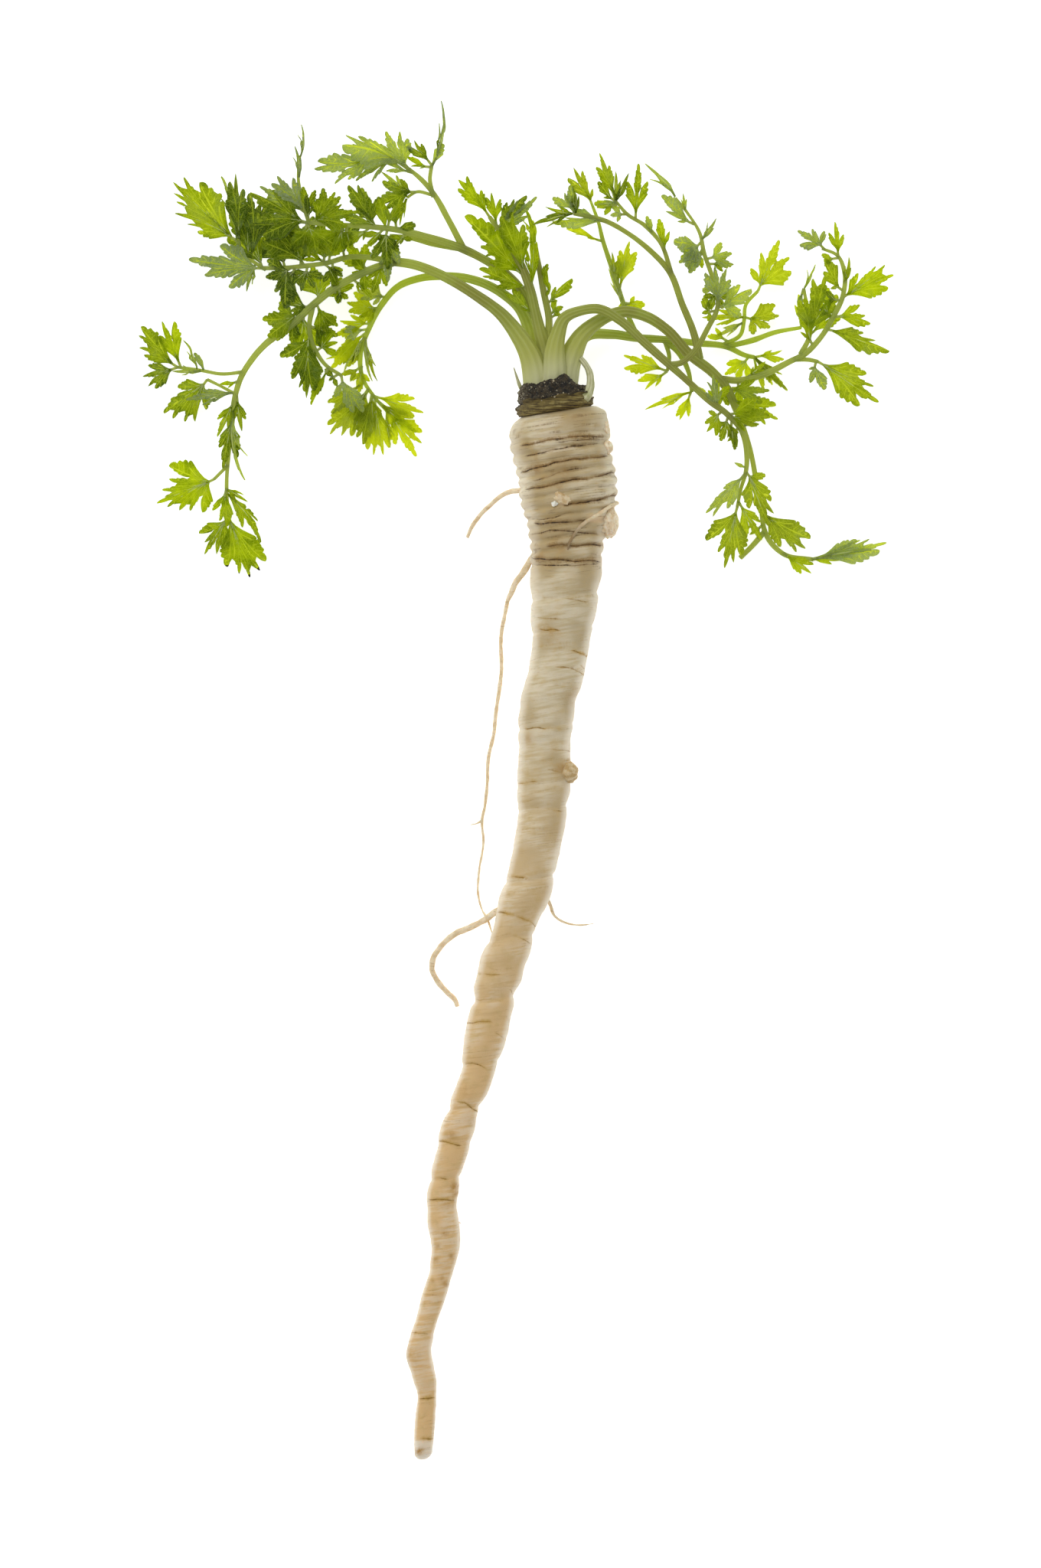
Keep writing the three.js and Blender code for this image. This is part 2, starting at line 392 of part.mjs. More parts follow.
        [10.5, 121, 9.5, 0.51], [9, 125, 10, 0.42],
      ],
    ],
    leaves: [
      [9, 125, 2, [[2, 133], [3.5, 136], [6, 135], [9, 130]]],
      [12, 115, -1, [[1.5, 118.5], [4, 117], [7.5, 116]]],
      [16.5, 102.5, 1, [[15.5, 109], [16.5, 110], [18.5, 110.5]]],
      [18, 97.5, -1, [[16.5, 96.5], [24, 97], [21, 99.5]]],
      [30.5, 78, 0, [[18, 79], [18, 82.5], [23, 82.5]]],
      [30.5, 77.5, -1, [[22, 75], [24, 72.5], [27, 73.5]]],
      [37.5, 72.5, -1, [[33, 65], [34, 64], [36.5, 65]]],
      [54, 82.5, -1, [[47.5, 80], [47, 77], [50.5, 74.5], [54, 75]]],
      [55.5, 82, -1, [[58.5, 76.5], [60.5, 74], [59, 79.5]]],
      [55.5, 82, 1, [[64, 81.5], [63.5, 84], [60.5, 84]]],
      [52.5, 93.5, 0, [[55, 88.5], [60, 90.5], [62.5, 94], [61.5, 97]]],
      [56.5, 101, 1, [[54.5, 107.5], [57.5, 112], [62.5, 115.5], [65.5, 110.5], [66, 106.5]]],
      [69, 90.5, 0, [[67, 97], [68, 100]]],
    ],
    slips: [
      [hand, 15.5, 105, 14.5, 112, 2, 0.3, 0], [hand, 37.5, 72, 24, 66.5, 0, 0.22, 20],
      [hand, 55.5, 82, 64.5, 73, 0, 0.25, 0], [hand, 52.5, 93.5, 40.5, 93.5, 0, 0.35, 0],
    ],
  },
};
// Colour and roughness of each piece.
const finishes = {
  taproot: [0xd8cdb5, 0.75],
  crown_collar: [0x4a3a26, 0.95],
  frond_left_front: [0x7f9c2c, 0.6],
  frond_left_upper: [0x8fa63c, 0.6],
  frond_left_lower: [0x9bb02f, 0.6],
  frond_centre: [0x86a02e, 0.6],
  frond_right_front: [0x8ca548, 0.6],
  frond_right_middle: [0x83a03a, 0.6],
  frond_right_back: [0xa4b82e, 0.6],
  withered_stalk: [0xb9ae7c, 0.85],
};

// ---- Solids ----
function solidFrom(geometry) {
  geometry.deleteAttribute("normal");
  geometry.deleteAttribute("uv");
  const merged = mergeVertices(geometry, weldDistance);
  const mesh = new wasm.Mesh({
    numProp: 3,
    vertProperties: merged.attributes.position.array,
    triVerts: new Uint32Array(merged.index.array),
  });
  return new wasm.Manifold(mesh);
}

function solidOf(points, faces) {
  return solidFrom(new THREE.BufferGeometry().setFromPoints(points).setIndex(faces.flat()));
}

function meshOf(name, solid) {
  const { vertProperties, triVerts } = solid.getMesh();
  const geometry = new THREE.BufferGeometry();
  geometry.setAttribute("position", new THREE.BufferAttribute(vertProperties, 3));
  geometry.setIndex(new THREE.BufferAttribute(triVerts, 1));
  geometry.computeVertexNormals();
  const [color, roughness] = finishes[name];
  const mesh = new THREE.Mesh(geometry, new THREE.MeshStandardMaterial({ color, roughness, metalness: 0 }));
  mesh.name = name;
  return mesh;
}

function randomFrom(seed) {
  let state = seed;
  return () => {
    state = (state * 1664525 + 1013904223) % 4294967296;
    return state / 4294967296;
  };
}

// Rings of points, one after the other along a body, closed into one solid with flat ends.
function skinSolid(rings) {
  const sides = rings[0].length;
  const faces = [];
  for (let i = 0; i + 1 < rings.length; i++) {
    for (let j = 0; j < sides; j++) {
      const here = i * sides + j;
      const next = i * sides + ((j + 1) % sides);
      faces.push([here, next, here + sides], [next, next + sides, here + sides]);
    }
  }
  const end = (rings.length - 1) * sides;
  for (let j = 1; j + 1 < sides; j++) {
    faces.push([0, j + 1, j], [end, end + j, end + j + 1]);
  }
  return solidOf(rings.flat(), faces);
}

// A ring square to the direction that the body runs in.
function ringAt(centre, along, radius, sides) {
  const across = new THREE.Vector3().crossVectors(along, new THREE.Vector3(0, 0, 1)).normalize();
  const up = new THREE.Vector3().crossVectors(across, along).normalize();
  return Array.from({ length: sides }, (_, j) => {
    const angle = (-2 * Math.PI * (j + 0.5)) / sides;
    return centre
      .clone()
      .addScaledVector(across, radius * Math.cos(angle))
      .addScaledVector(up, radius * Math.sin(angle));
  });
}

function curveOf(route) {
  return new THREE.CatmullRomCurve3(route.map(([x, y, z]) => new THREE.Vector3(x, y, z)), false, "chordal");
}

function tubeSolid(route, sides, extra = 0) {
  const curve = curveOf(route);
  const rings = route.map(([, , , radius], i) => {
    const share = i / (route.length - 1);
    return ringAt(curve.getPoint(share), curve.getTangent(share), radius + extra, sides);
  });
  return skinSolid(rings);
}

function stalkSolid(route, extra = 0) {
  return tubeSolid(route, route[0][3] < twigRadius ? twigSides : stalkSides, extra);
}

// The value at y on a line through [y, value, ...] rows whose y falls.
function between(rows, y, column) {
  const i = Math.max(1, rows.findIndex(([at]) => at <= y));
  const [above, below] = [rows[i - 1], rows[i]];
  return THREE.MathUtils.mapLinear(y, above[0], below[0], above[column], below[column]);
}

// ---- Root ----
function rootRing(y, crease) {
  const middle = between(rootRoute, y, 1);
  const radius = between(rootRoute, y, 2) - crease * creaseDepth;
  const height = between(rootRoute, y, 2) - rootPressed + between(rootLift, y, 1);
  return Array.from({ length: rootSides }, (_, j) => {
    const angle = (2 * Math.PI * (j + 0.5)) / rootSides;
    const across = radius * Math.cos(angle);
    const z = height + radius * Math.sin(angle);
    return new THREE.Vector3(middle + across, y + ringTilt * across, z < flatBelow ? 0 : z);
  });
}

function taproot() {
  const rings = creases.flatMap(([y, share]) => [[y + creaseReach, 0], [y, share], [y - creaseReach, 0]]);
  const clear = ([y]) => rings.every(([at]) => Math.abs(at - y) > creaseReach);
  const plain = rootRoute.filter(([y], i) => i < 2 || clear([y])).map(([y]) => [y, 0]);
  const all = [...rings, ...plain].sort((a, b) => b[0] - a[0]);
  const crest = ([y, crease], i) => crease || i < 2 || all[i - 1][1] || all[i - 1][0] - y > creaseReach;
  const body = skinSolid(all.filter(crest).map(([y, crease]) => rootRing(y, crease)));
  const withRootlets = rootlets.reduce((solid, route) => solid.add(tubeSolid(route, twigSides)), body);
  return knobs.reduce((solid, knob) => solid.add(knobSolid(knob)), withRootlets);
}

function knobSolid([x, y, z, radius]) {
  return solidFrom(new THREE.IcosahedronGeometry(radius, 1).scale(...knobShape).translate(x, y, z));
}

// ---- Crown ----
function crownCollar(stalks) {
  const random = randomFrom(collarSeed);
  const [x, z] = collarCentre;
  const rings = collarProfile.map(([share, radius]) =>
    Array.from({ length: collarSides }, (_, j) => {
      const angle = (-2 * Math.PI * (j + 0.5)) / collarSides;
      const reach = radius * (1 + (share === 0 ? 0 : collarRoughness * (random() - 0.5)));
      const across = reach * Math.cos(angle);
      const y = collarStart + share * collarLength + ringTilt * across;
      return new THREE.Vector3(x + across, y, z + reach * Math.sin(angle));
    }),
  );
  const socket = (route) => stalkSolid(route.slice(0, socketPoints), pieceGap);
  return stalks.reduce((solid, route) => solid.subtract(socket(route)), skinSolid(rings));
}

// ---- Leaves ----
// The point of the stalks that lies nearest to x, y, seen from above.
function nearestOnStalks(stalks, x, y) {
  const target = new THREE.Vector2(x, y);
  let best = { distance: Infinity };
  for (const route of stalks) {
    for (let i = 1; i < route.length; i++) {
      const [start, end] = [route[i - 1], route[i]].map(([px, py, pz]) => new THREE.Vector3(px, py, pz));
      const run = new THREE.Vector2(end.x - start.x, end.y - start.y);
      const share = THREE.MathUtils.clamp(target.clone().sub(start).dot(run) / run.lengthSq(), 0, 1);
      const point = start.lerp(end, share);
      const distance = target.distanceTo(point);
      if (distance < best.distance) best = { distance, point };
    }
  }
  return best.point;
}

// A thin solid between two copies of a fan of triangles round its middle. The rim runs anticlockwise.
function fanSolid(middle, rim, thickness) {
  const under = [middle, ...rim].map((point) => point.clone().addScaledVector(thickness, -0.5));
  under.forEach((point) => point.setZ(Math.max(point.z, 0)));
  const over = under.map((point) => point.clone().add(thickness));
  const count = under.length;
  const faces = rim.flatMap((_, i) => {
    const here = i + 1;
    const next = here + 1 < count ? here + 1 : 1;
    return [
      [0, next, here], [count, here + count, next + count],
      [here, next, next + count], [here, next + count, here + count],
    ];
  });
  return solidOf([...under, ...over], faces);
}

// One cut leaf, a fan of lobes round its base, seen from above.
function leafSolid(stalks, [baseX, baseY, rise, tips], random) {
  const base = nearestOnStalks(stalks, baseX, baseY);
  const reach = tips.map(([x, y]) => new THREE.Vector2(x - base.x, y - base.y));
  const sum = new THREE.Vector2();
  reach.forEach((to) => sum.add(to.clone().normalize()));
  const heading = sum.angle();
  const lobes = reach
    .map((to) => ({
      length: to.length(),
      angle: ((to.angle() - heading + 3 * Math.PI) % (2 * Math.PI)) - Math.PI,
    }))
    .sort((a, b) => a.angle - b.angle);
  const at = (angle, distance, lobe) => {
    const share = distance / lobe.length;
    const arch = 4 * leafArch * lobe.length * share * (1 - share);
    const height = rise * share + lobe.wave * share * share + arch;
    return new THREE.Vector3(
      base.x + distance * Math.cos(heading + angle),
      base.y + distance * Math.sin(heading + angle),
      base.z + height,
    );
  };
  lobes.forEach((lobe) => (lobe.wave = leafWave * lobe.length * (2 * random() - 1)));
  const ahead = new THREE.Vector3(Math.cos(heading), Math.sin(heading), 0);
  const aside = new THREE.Vector3(-ahead.y, ahead.x, 0);
  const middle = base.clone().addScaledVector(ahead, petioleLength);
  const [right, left] = [-1, 1].map((side) => middle.clone().addScaledVector(aside, side * petioleHalfWidth));
  const rim = lobes.flatMap((lobe, i) => {
    const before = lobes[i - 1];
    const after = lobes[i + 1];
    const points = [at(lobe.angle, lobe.length, lobe)];
    const shoulder = (side) => at(lobe.angle + side * lobeHalfAngle, lobeShoulder * lobe.length, lobe);
    if (!before || lobe.angle - before.angle > shoulderRoom) points.unshift(shoulder(-1));
    if (!after || after.angle - lobe.angle > shoulderRoom) points.push(shoulder(1));
    if (after) {
      const spread = (after.angle - lobe.angle) / toothAngle;
      const cut = THREE.MathUtils.mapLinear(spread, 1, 3, shallowCut, deepCut);
      const share = THREE.MathUtils.clamp(cut, deepCut, shallowCut);
      const shorter = lobe.length < after.length ? lobe : after;
      points.push(at((lobe.angle + after.angle) / 2, share * shorter.length, shorter));
    }
    return points;
  });
  const foot = base.clone().addScaledVector(ahead, -petioleSunk);
  return fanSolid(middle, [foot, right, ...rim, left], new THREE.Vector3(0, 0, bladeThickness));
}

// A narrow leaf that may stand on its edge: two halves on a midrib, rolled about it.
function slipSolid(stalks, [shape, baseX, baseY, tipX, tipY, rise, width, roll]) {
  const base = nearestOnStalks(stalks, baseX, baseY);
  const tip = new THREE.Vector3(tipX, tipY, base.z + rise);
  const length = base.distanceTo(tip);
  const along = tip.clone().sub(base).normalize();
  const across = new THREE.Vector3(0, 0, 1).cross(along).normalize();
  across.applyAxisAngle(along, THREE.MathUtils.degToRad(roll));
  const up = new THREE.Vector3().crossVectors(along, across);
  const at = (share, reach) =>
    base
      .clone()
      .addScaledVector(along, share * length)
      .addScaledVector(across, reach)
      .addScaledVector(up, slipFold * Math.abs(reach) + 4 * leafArch * length * share * (1 - share));
  const halfWidth = (reach) => Math.max(petioleHalfWidth, (reach * width * length) / 2);
  const halves = [-1, 1].map((side) => shape.map(([share, reach]) => at(share, side * halfWidth(reach))));
  const foot = base.clone().addScaledVector(along, -petioleSunk);
  const rim = [foot, ...halves[0], tip, ...halves[1].reverse()];
  return fanSolid(at(slipMiddle, 0), rim, up.multiplyScalar(bladeThickness));
}

function frondSolid({ stalks, leaves, slips }, seed) {
  const random = randomFrom(seed);
  const solids = [
    ...stalks.map((route) => stalkSolid(route)),
    ...leaves.map((leaf) => leafSolid(stalks, leaf, random)),
    ...slips.map((leaf) => slipSolid(stalks, leaf)),
  ];
  return solids.reduce((frond, solid) => frond.add(solid));
}

// ---- Assembly ----
const plant = new THREE.Group();
plant.add(meshOf("taproot", taproot()));

const mainStalks = Object.values(fronds).map(({ stalks }) => stalks[0]);
const stalksInCollar = [...mainStalks, witheredStalk];
plant.add(meshOf("crown_collar", crownCollar(stalksInCollar)));

const placed = [];
Object.entries(fronds).forEach(([name, frond], i) => {
  const cutClear = (rest, route) => rest.subtract(stalkSolid(route.slice(0, bundledPoints), pieceGap));
  plant.add(meshOf(name, placed.reduce(cutClear, frondSolid(frond, frondSeed + i))));
  placed.push(frond.stalks[0]);
});

const clearOf = (rest, route) => rest.subtract(stalkSolid(route, pieceGap));
const withered = placed.reduce(clearOf, stalkSolid(witheredStalk));
plant.add(meshOf("withered_stalk", withered));

export default plant;
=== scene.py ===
# Root parsley, a parsnip-like root with its leaves, lying on a pale floor.
# Lists are in millimetres in the part's frame: +Y from the tip to the leaves, +Z up, the floor at 0.
import math

import bpy
import numpy as np
from mathutils.geometry import delaunay_2d_cdt
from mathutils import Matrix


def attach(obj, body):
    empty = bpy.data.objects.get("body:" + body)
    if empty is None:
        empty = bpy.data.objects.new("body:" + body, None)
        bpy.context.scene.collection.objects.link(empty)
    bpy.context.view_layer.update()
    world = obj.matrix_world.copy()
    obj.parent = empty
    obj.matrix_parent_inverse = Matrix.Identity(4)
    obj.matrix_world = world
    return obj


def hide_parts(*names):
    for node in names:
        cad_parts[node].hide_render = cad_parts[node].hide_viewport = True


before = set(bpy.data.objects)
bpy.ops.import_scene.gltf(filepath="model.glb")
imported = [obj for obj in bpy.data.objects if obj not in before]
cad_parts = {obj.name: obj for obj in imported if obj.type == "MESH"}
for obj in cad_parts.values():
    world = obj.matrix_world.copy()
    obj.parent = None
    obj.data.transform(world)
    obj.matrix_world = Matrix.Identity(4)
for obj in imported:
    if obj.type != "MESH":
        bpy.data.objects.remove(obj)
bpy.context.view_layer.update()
millimetre = 0.001
scene = bpy.context.scene
print("frame loaded:", len(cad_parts), "nodes")


def placed(name, data):
    made = bpy.data.objects.new(name, data)
    scene.collection.objects.link(made)
    return made


def tint(code):  # a colour from its six hexadecimal digits
    channels = [int(code[i:i + 2], 16) / 255 for i in (0, 2, 4)]
    linear = [c / 12.92 if c <= 0.04045 else ((c + 0.055) / 1.055) ** 2.4 for c in channels]
    return (*linear, 1.0)


class Value:  # what a socket gives, ready to be written into a sum
    def __init__(self, network, socket):
        self.network = network
        self.socket = socket

    def __add__(self, other):
        return self.network.maths("ADD", self, other)

    def __sub__(self, other):
        return self.network.maths("SUBTRACT", self, other)

    def __rsub__(self, other):
        return self.network.maths("SUBTRACT", other, self)

    def __mul__(self, other):
        return self.network.maths("MULTIPLY", self, other)

    __radd__ = __add__
    __rmul__ = __mul__

    def size(self):
        return self.network.maths("ABSOLUTE", self)

    def part(self):
        return self.network.maths("FRACT", self)

    def ramp(self, low, high):  # 0 at low and 1 at high, smooth between them, either way round
        values = {"Value": self, "From Min": low, "From Max": high}
        return self.network.node("ShaderNodeMapRange", {"interpolation_type": "SMOOTHSTEP"}, values)

    def output(self, name):
        return Value(self.network, self.socket.node.outputs[name])


class Network:  # the nodes of a material or a shape while it is being made
    def __init__(self, tree):
        self.tree = tree

    def node(self, kind, settings, values, output=0):
        made = self.tree.nodes.new(kind)
        for name, value in settings.items():
            setattr(made, name, value)
        for name, value in values.items():
            socket = next(s for s in made.inputs if name in (s.identifier, s.name) and s.enabled)
            if isinstance(value, Value):
                self.tree.links.new(value.socket, socket)
            else:
                socket.default_value = value
        return Value(self, made.outputs[output]) if made.outputs else None

    def maths(self, operation, *terms):
        return self.node("ShaderNodeMath", {"operation": operation}, dict(zip(("Value", "Value_001"), terms)))

    def split(self, vector):  # its X, Y and Z
        x = self.node("ShaderNodeSeparateXYZ", {}, {"Vector": vector})
        return x, x.output("Y"), x.output("Z")


class Finish(Network):  # a material
    def __init__(self, name):
        self.material = bpy.data.materials.new(name)
        self.material.use_nodes = True
        super().__init__(self.material.node_tree)
        self.tree.nodes.clear()

    def mix(self, share, below, above):  # colours, each linked or a code
        colours = [tint(colour) if isinstance(colour, str) else colour for colour in (below, above)]
        values = {"Factor_Float": share, "A_Color": colours[0], "B_Color": colours[1]}
        return self.node("ShaderNodeMix", {"data_type": "RGBA"}, values, 2)

    def vector(self, x, y, z):
        return self.node("ShaderNodeCombineXYZ", {}, {"X": x, "Y": y, "Z": z})

    def place(self, stretch=(1, 1, 1)):  # where a point is on the piece, in millimetres, stretched
        here = self.node("ShaderNodeTexCoord", {}, {}, "Object")
        values = {"Vector": here, "Vector_001": tuple(value / millimetre for value in stretch)}
        return self.node("ShaderNodeVectorMath", {"operation": "MULTIPLY"}, values)

    def distance(self, where, spot):
        values = {"Vector": where, "Vector_001": spot}
        return self.node("ShaderNodeVectorMath", {"operation": "DISTANCE"}, values, "Value")

    def noise(self, where, size, detail=2.0, roughness=0.5):
        values = {"Vector": where, "Scale": 1 / size, "Detail": detail, "Roughness": roughness}
        return self.node("ShaderNodeTexNoise", {}, values)

    def cells(self, where, size, feature="F1"):
        return self.node("ShaderNodeTexVoronoi", {"feature": feature}, {"Vector": where, "Scale": 1 / size})

    def stored(self, name):  # a number kept on the mesh
        return self.node("ShaderNodeAttribute", {"attribute_name": name}, {}, "Fac")

    def bump(self, height, distance, strength):
        values = {"Height": height, "Distance": distance * millimetre, "Strength": strength}
        return self.node("ShaderNodeBump", {}, values)

    def paint(self, values):
        return self.node("ShaderNodeBsdfPrincipled", {}, values)

    def through(self, colour):  # light that shines through a thin sheet
        return self.node("ShaderNodeBsdfTranslucent", {}, {"Color": colour})

    def layered(self, share, below, above):  # surfaces
        return self.node("ShaderNodeMixShader", {}, {"Fac": share, "Shader": below, "Shader_001": above})

    def done(self, surface):
        self.node("ShaderNodeOutputMaterial", {}, {"Surface": surface})
        return self.material


def glowInside(weight, radius, depth):  # light that spreads under a skin, depth in millimetres
    return {"Subsurface Weight": weight, "Subsurface Radius": radius, "Subsurface Scale": depth * millimetre}


# Camera, floor and light, in metres and watts.
cameraSetup = {"place": (-0.01166, -0.04048, 3.004), "lens": 240, "sensor": 36, "farthest": 50}
floorSetup = {"side": 12.0, "drop": 0.0002, "shade": 0.8, "roughness": 0.9, "glow": 0.72}
skySetup = {"tint": (0.97, 0.985, 1.0, 1), "strength": 0.52}
lampSetup = {"place": (-0.55, 0.95, 1.75), "size": 1.1, "power": 15.0}


def makeCamera():
    data = bpy.data.cameras.new("camera")
    data.lens = cameraSetup["lens"]
    data.sensor_fit = "VERTICAL"
    data.sensor_height = cameraSetup["sensor"]
    data.clip_end = cameraSetup["farthest"]
    made = placed("camera", data)
    made.location = cameraSetup["place"]
    scene.camera = made


def makeFloor():
    half = floorSetup["side"] / 2
    corners = [(x * half, y * half, -floorSetup["drop"]) for x, y in ((-1, -1), (1, -1), (1, 1), (-1, 1))]
    data = bpy.data.meshes.new("floor")
    data.from_pydata(corners, [], [(0, 1, 2, 3)])
    made = Finish("floor_white")
    data.materials.append(made.done(made.paint({
        "Base Color": (*[floorSetup["shade"]] * 3, 1), "Roughness": floorSetup["roughness"],
        "Emission Color": (1, 1, 1, 1), "Emission Strength": floorSetup["glow"],
    })))
    floor = placed("floor", data)


def makeLight():
    world = bpy.data.worlds.new("sky")
    world.use_nodes = True
    sky = world.node_tree.nodes["Background"]
    sky.inputs["Color"].default_value = skySetup["tint"]
    sky.inputs["Strength"].default_value = skySetup["strength"]
    scene.world = world
    lamp = bpy.data.lights.new("softbox", "AREA")
    lamp.size = lampSetup["size"]
    lamp.energy = lampSetup["power"]
    box = placed("softbox", lamp)
    box.location = lampSetup["place"]
    box.rotation_euler = (-box.location).to_track_quat("-Z", "Y").to_euler()
    box.visible_camera = False
    scene.view_settings.view_transform = "Standard"


makeCamera()
makeFloor()
makeLight()
print("camera, floor and light made")


# Shared shape tools.
playCells = 32  # random play repeats after this many lumps


def cloud(points, size, seed):  # smooth random play from -1 to 1, in lumps of about the size
    grid = np.random.default_rng(seed).uniform(-1, 1, (playCells,) * 3)
    spots = np.asarray(points, float) / np.asarray(size, float)
    corner = np.floor(spots).astype(int)
    share = spots - corner
    share = share * share * (3 - 2 * share)
    total = np.zeros(spots.shape[:-1])
    for step in np.ndindex(2, 2, 2):
        weight = np.prod(np.where(step, share, 1 - share), axis=-1)
        total += weight * grid[tuple(np.moveaxis((corner + step) % playCells, -1, 0))]
    return total


def played(setup, name, spots, number):  # a piece's own play: its height, in lumps of its size
    height, size = setup[name]
    return height * cloud(spots, size, setup["seed"] + number)


def fade(values, low, high):  # 0 at low and 1 at high, smooth between them
    share = np.clip((np.asarray(values, float) - low) / (high - low), 0, 1)
    return share * share * (3 - 2 * share)


def bell(values, width):
    return np.exp(-(values / width) ** 2)


def stacked(*columns):  # X, Y and Z of many points
    return np.stack(np.broadcast_arrays(*columns), -1)


def closed(rings):  # the rings' points, followed by a middle for each of the two ends
    return np.concatenate([rings.reshape(-1, 3), rings[[0, -1]].mean(axis=1)])


def ringFaces(rings, sides):  # faces of a closed skin of rings
    faces = []
    for i in range(rings - 1):
        for j in range(sides):
            here = i * sides + j
            aside = i * sides + (j + 1) % sides
            faces.append((here, aside, aside + sides, here + sides))
    last = (rings - 1) * sides
    first = rings * sides
    for j in range(sides):
        aside = (j + 1) % sides
        faces.append((first, aside, j))
        faces.append((first + 1, last + j, last + aside))
    return faces


def meshPiece(name, points, faces, material, numbers, crease=None):
    data = bpy.data.meshes.new(name)
    data.from_pydata((np.asarray(points) * millimetre).tolist(), [], faces)
    for label, values in numbers.items():
        stored = data.attributes.new(label, "FLOAT", "POINT")
        stored.data.foreach_set("value", np.asarray(values, np.float32))
    data.polygons.foreach_set("use_smooth", [True] * len(data.polygons))
    if crease:
        data.set_sharp_from_angle(angle=math.radians(crease))
    data.materials.append(material)
    return placed(name, data)


def smoothRoute(route, spacing):  # points on a smooth line through the route, last value the radius
    route = np.array(route, float)
    steps = np.linalg.norm(np.diff(route[:, :3], axis=0), axis=1)
    at = np.concatenate([[0], np.cumsum(steps)])
    if len(route) > 2:
        slopes = np.gradient(route, at, axis=0)
    else:
        slopes = np.repeat(np.diff(route, axis=0) / steps, 2, 0)
    found = []
    for i, step in enumerate(steps):
        count = max(2, math.ceil(step / spacing))
        for t in np.arange(count) / count:
            found.append((1 + 2 * t) * (1 - t) ** 2 * route[i] + t * (1 - t) ** 2 * step * slopes[i]
                         + t * t * (3 - 2 * t) * route[i + 1] + t * t * (t - 1) * step * slopes[i + 1])
    return np.array(found + [route[-1]])


# Tubes: stalks, rootlets and leaf ribs.
class ShapeTree(Network):
    def __init__(self, name, inputs):
        super().__init__(bpy.data.node_groups.new(name, "GeometryNodeTree"))
        face = self.tree.interface
        for label, kind in {"Geometry": "Geometry", **inputs, "Material": "Material"}.items():
            face.new_socket(label, in_out="INPUT", socket_type="NodeSocket" + kind)
        face.new_socket("Geometry", in_out="OUTPUT", socket_type="NodeSocketGeometry")
        self.start = self.node("NodeGroupInput", {}, {})

    def given(self, name):
        return self.start.output(name)

    def scaled(self, vector, by):
        return self.node("ShaderNodeVectorMath", {"operation": "SCALE"}, {"Vector": vector, "Scale": by})

    def done(self, geometry):
        whole = self.node("GeometryNodeRealizeInstances", {}, {"Geometry": geometry})
        values = {"Geometry": whole, "Material": self.given("Material")}
        finished = self.node("GeometryNodeSetMaterial", {}, values)
        self.node("NodeGroupOutput", {}, {"Geometry": finished})
        return self.tree


def ribbedTube():  # a round profile with lengthwise ribs, swept along every line of a curve
    made = ShapeTree("ribbedTube", {
        "Sides": "Int", "Ribs": "Float", "Rib Depth": "Float", "Knob Size": "Float", "Knob Height": "Float",
    })
    values = {"Resolution": made.given("Sides"), "Radius": 1.0}
    circle = made.node("GeometryNodeCurvePrimitiveCircle", {}, values)
    corner = made.node("GeometryNodeInputPosition", {}, {})
    x, y, _ = made.split(corner)
    wave = made.maths("COSINE", made.maths("ARCTAN2", y, x) * made.given("Ribs"))
    spot = made.scaled(corner, wave * made.given("Rib Depth") + 1.0)
    ribbed = made.node("GeometryNodeSetPosition", {}, {"Geometry": circle, "Position": spot})
    label = {"data_type": "FLOAT", "domain": "POINT"}
    values = {"Geometry": ribbed, "Name": "rib", "Value": wave}
    marked = made.node("GeometryNodeStoreNamedAttribute", label, values)
    radius = made.node("GeometryNodeInputRadius", {}, {})
    swept = {"Curve": made.given("Geometry"), "Profile Curve": marked, "Scale": radius, "Fill Caps": True}
    tube = made.node("GeometryNodeCurveToMesh", {}, swept)
    scale = made.maths("DIVIDE", 1.0, made.given("Knob Size"))
    lumps = made.node("ShaderNodeTexNoise", {}, {"Scale": scale, "Detail": 1.0})
    outward = made.node("GeometryNodeInputNormal", {}, {})
    push = made.scaled(outward, (lumps - 0.5) * made.given("Knob Height"))
    lumpy = made.node("GeometryNodeSetPosition", {}, {"Geometry": tube, "Offset": push})
    return made.done(made.node("GeometryNodeSetShadeSmooth", {}, {"Geometry": lumpy}))


def applied(source, tree, values, name):  # the mesh that a tree makes of an object
    link = source.modifiers.new("shape", "NODES")
    link.node_group = tree
    for item in tree.interface.items_tree:
        if item.item_type == "SOCKET" and item.in_out == "INPUT" and item.name in values:
            link[item.identifier] = values[item.name]
    graph = bpy.context.evaluated_depsgraph_get()
    data = bpy.data.meshes.new_from_object(source.evaluated_get(graph), depsgraph=graph)
    data.name = name
    source.modifiers.remove(link)
    bpy.data.objects.remove(source)
    return placed(name, data)


def tubePiece(name, routes, values):
    line = bpy.data.curves.new(name + "_line", "CURVE")
    line.dimensions = "3D"
    for route in routes:
        points = smoothRoute(route, values["spacing"])
        spline = line.splines.new("POLY")
        spline.points.add(len(points) - 1)
        places = np.column_stack([points[:, :3] * millimetre, np.ones(len(points))])
        spline.points.foreach_set("co", places.ravel())
        spline.points.foreach_set("radius", points[:, 3] * millimetre)
    return applied(placed(name + "_line", line), tubeTree, values, name)


tubeTree = ribbedTube()


def dress(piece, node):
    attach(piece, "root")
    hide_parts(node)


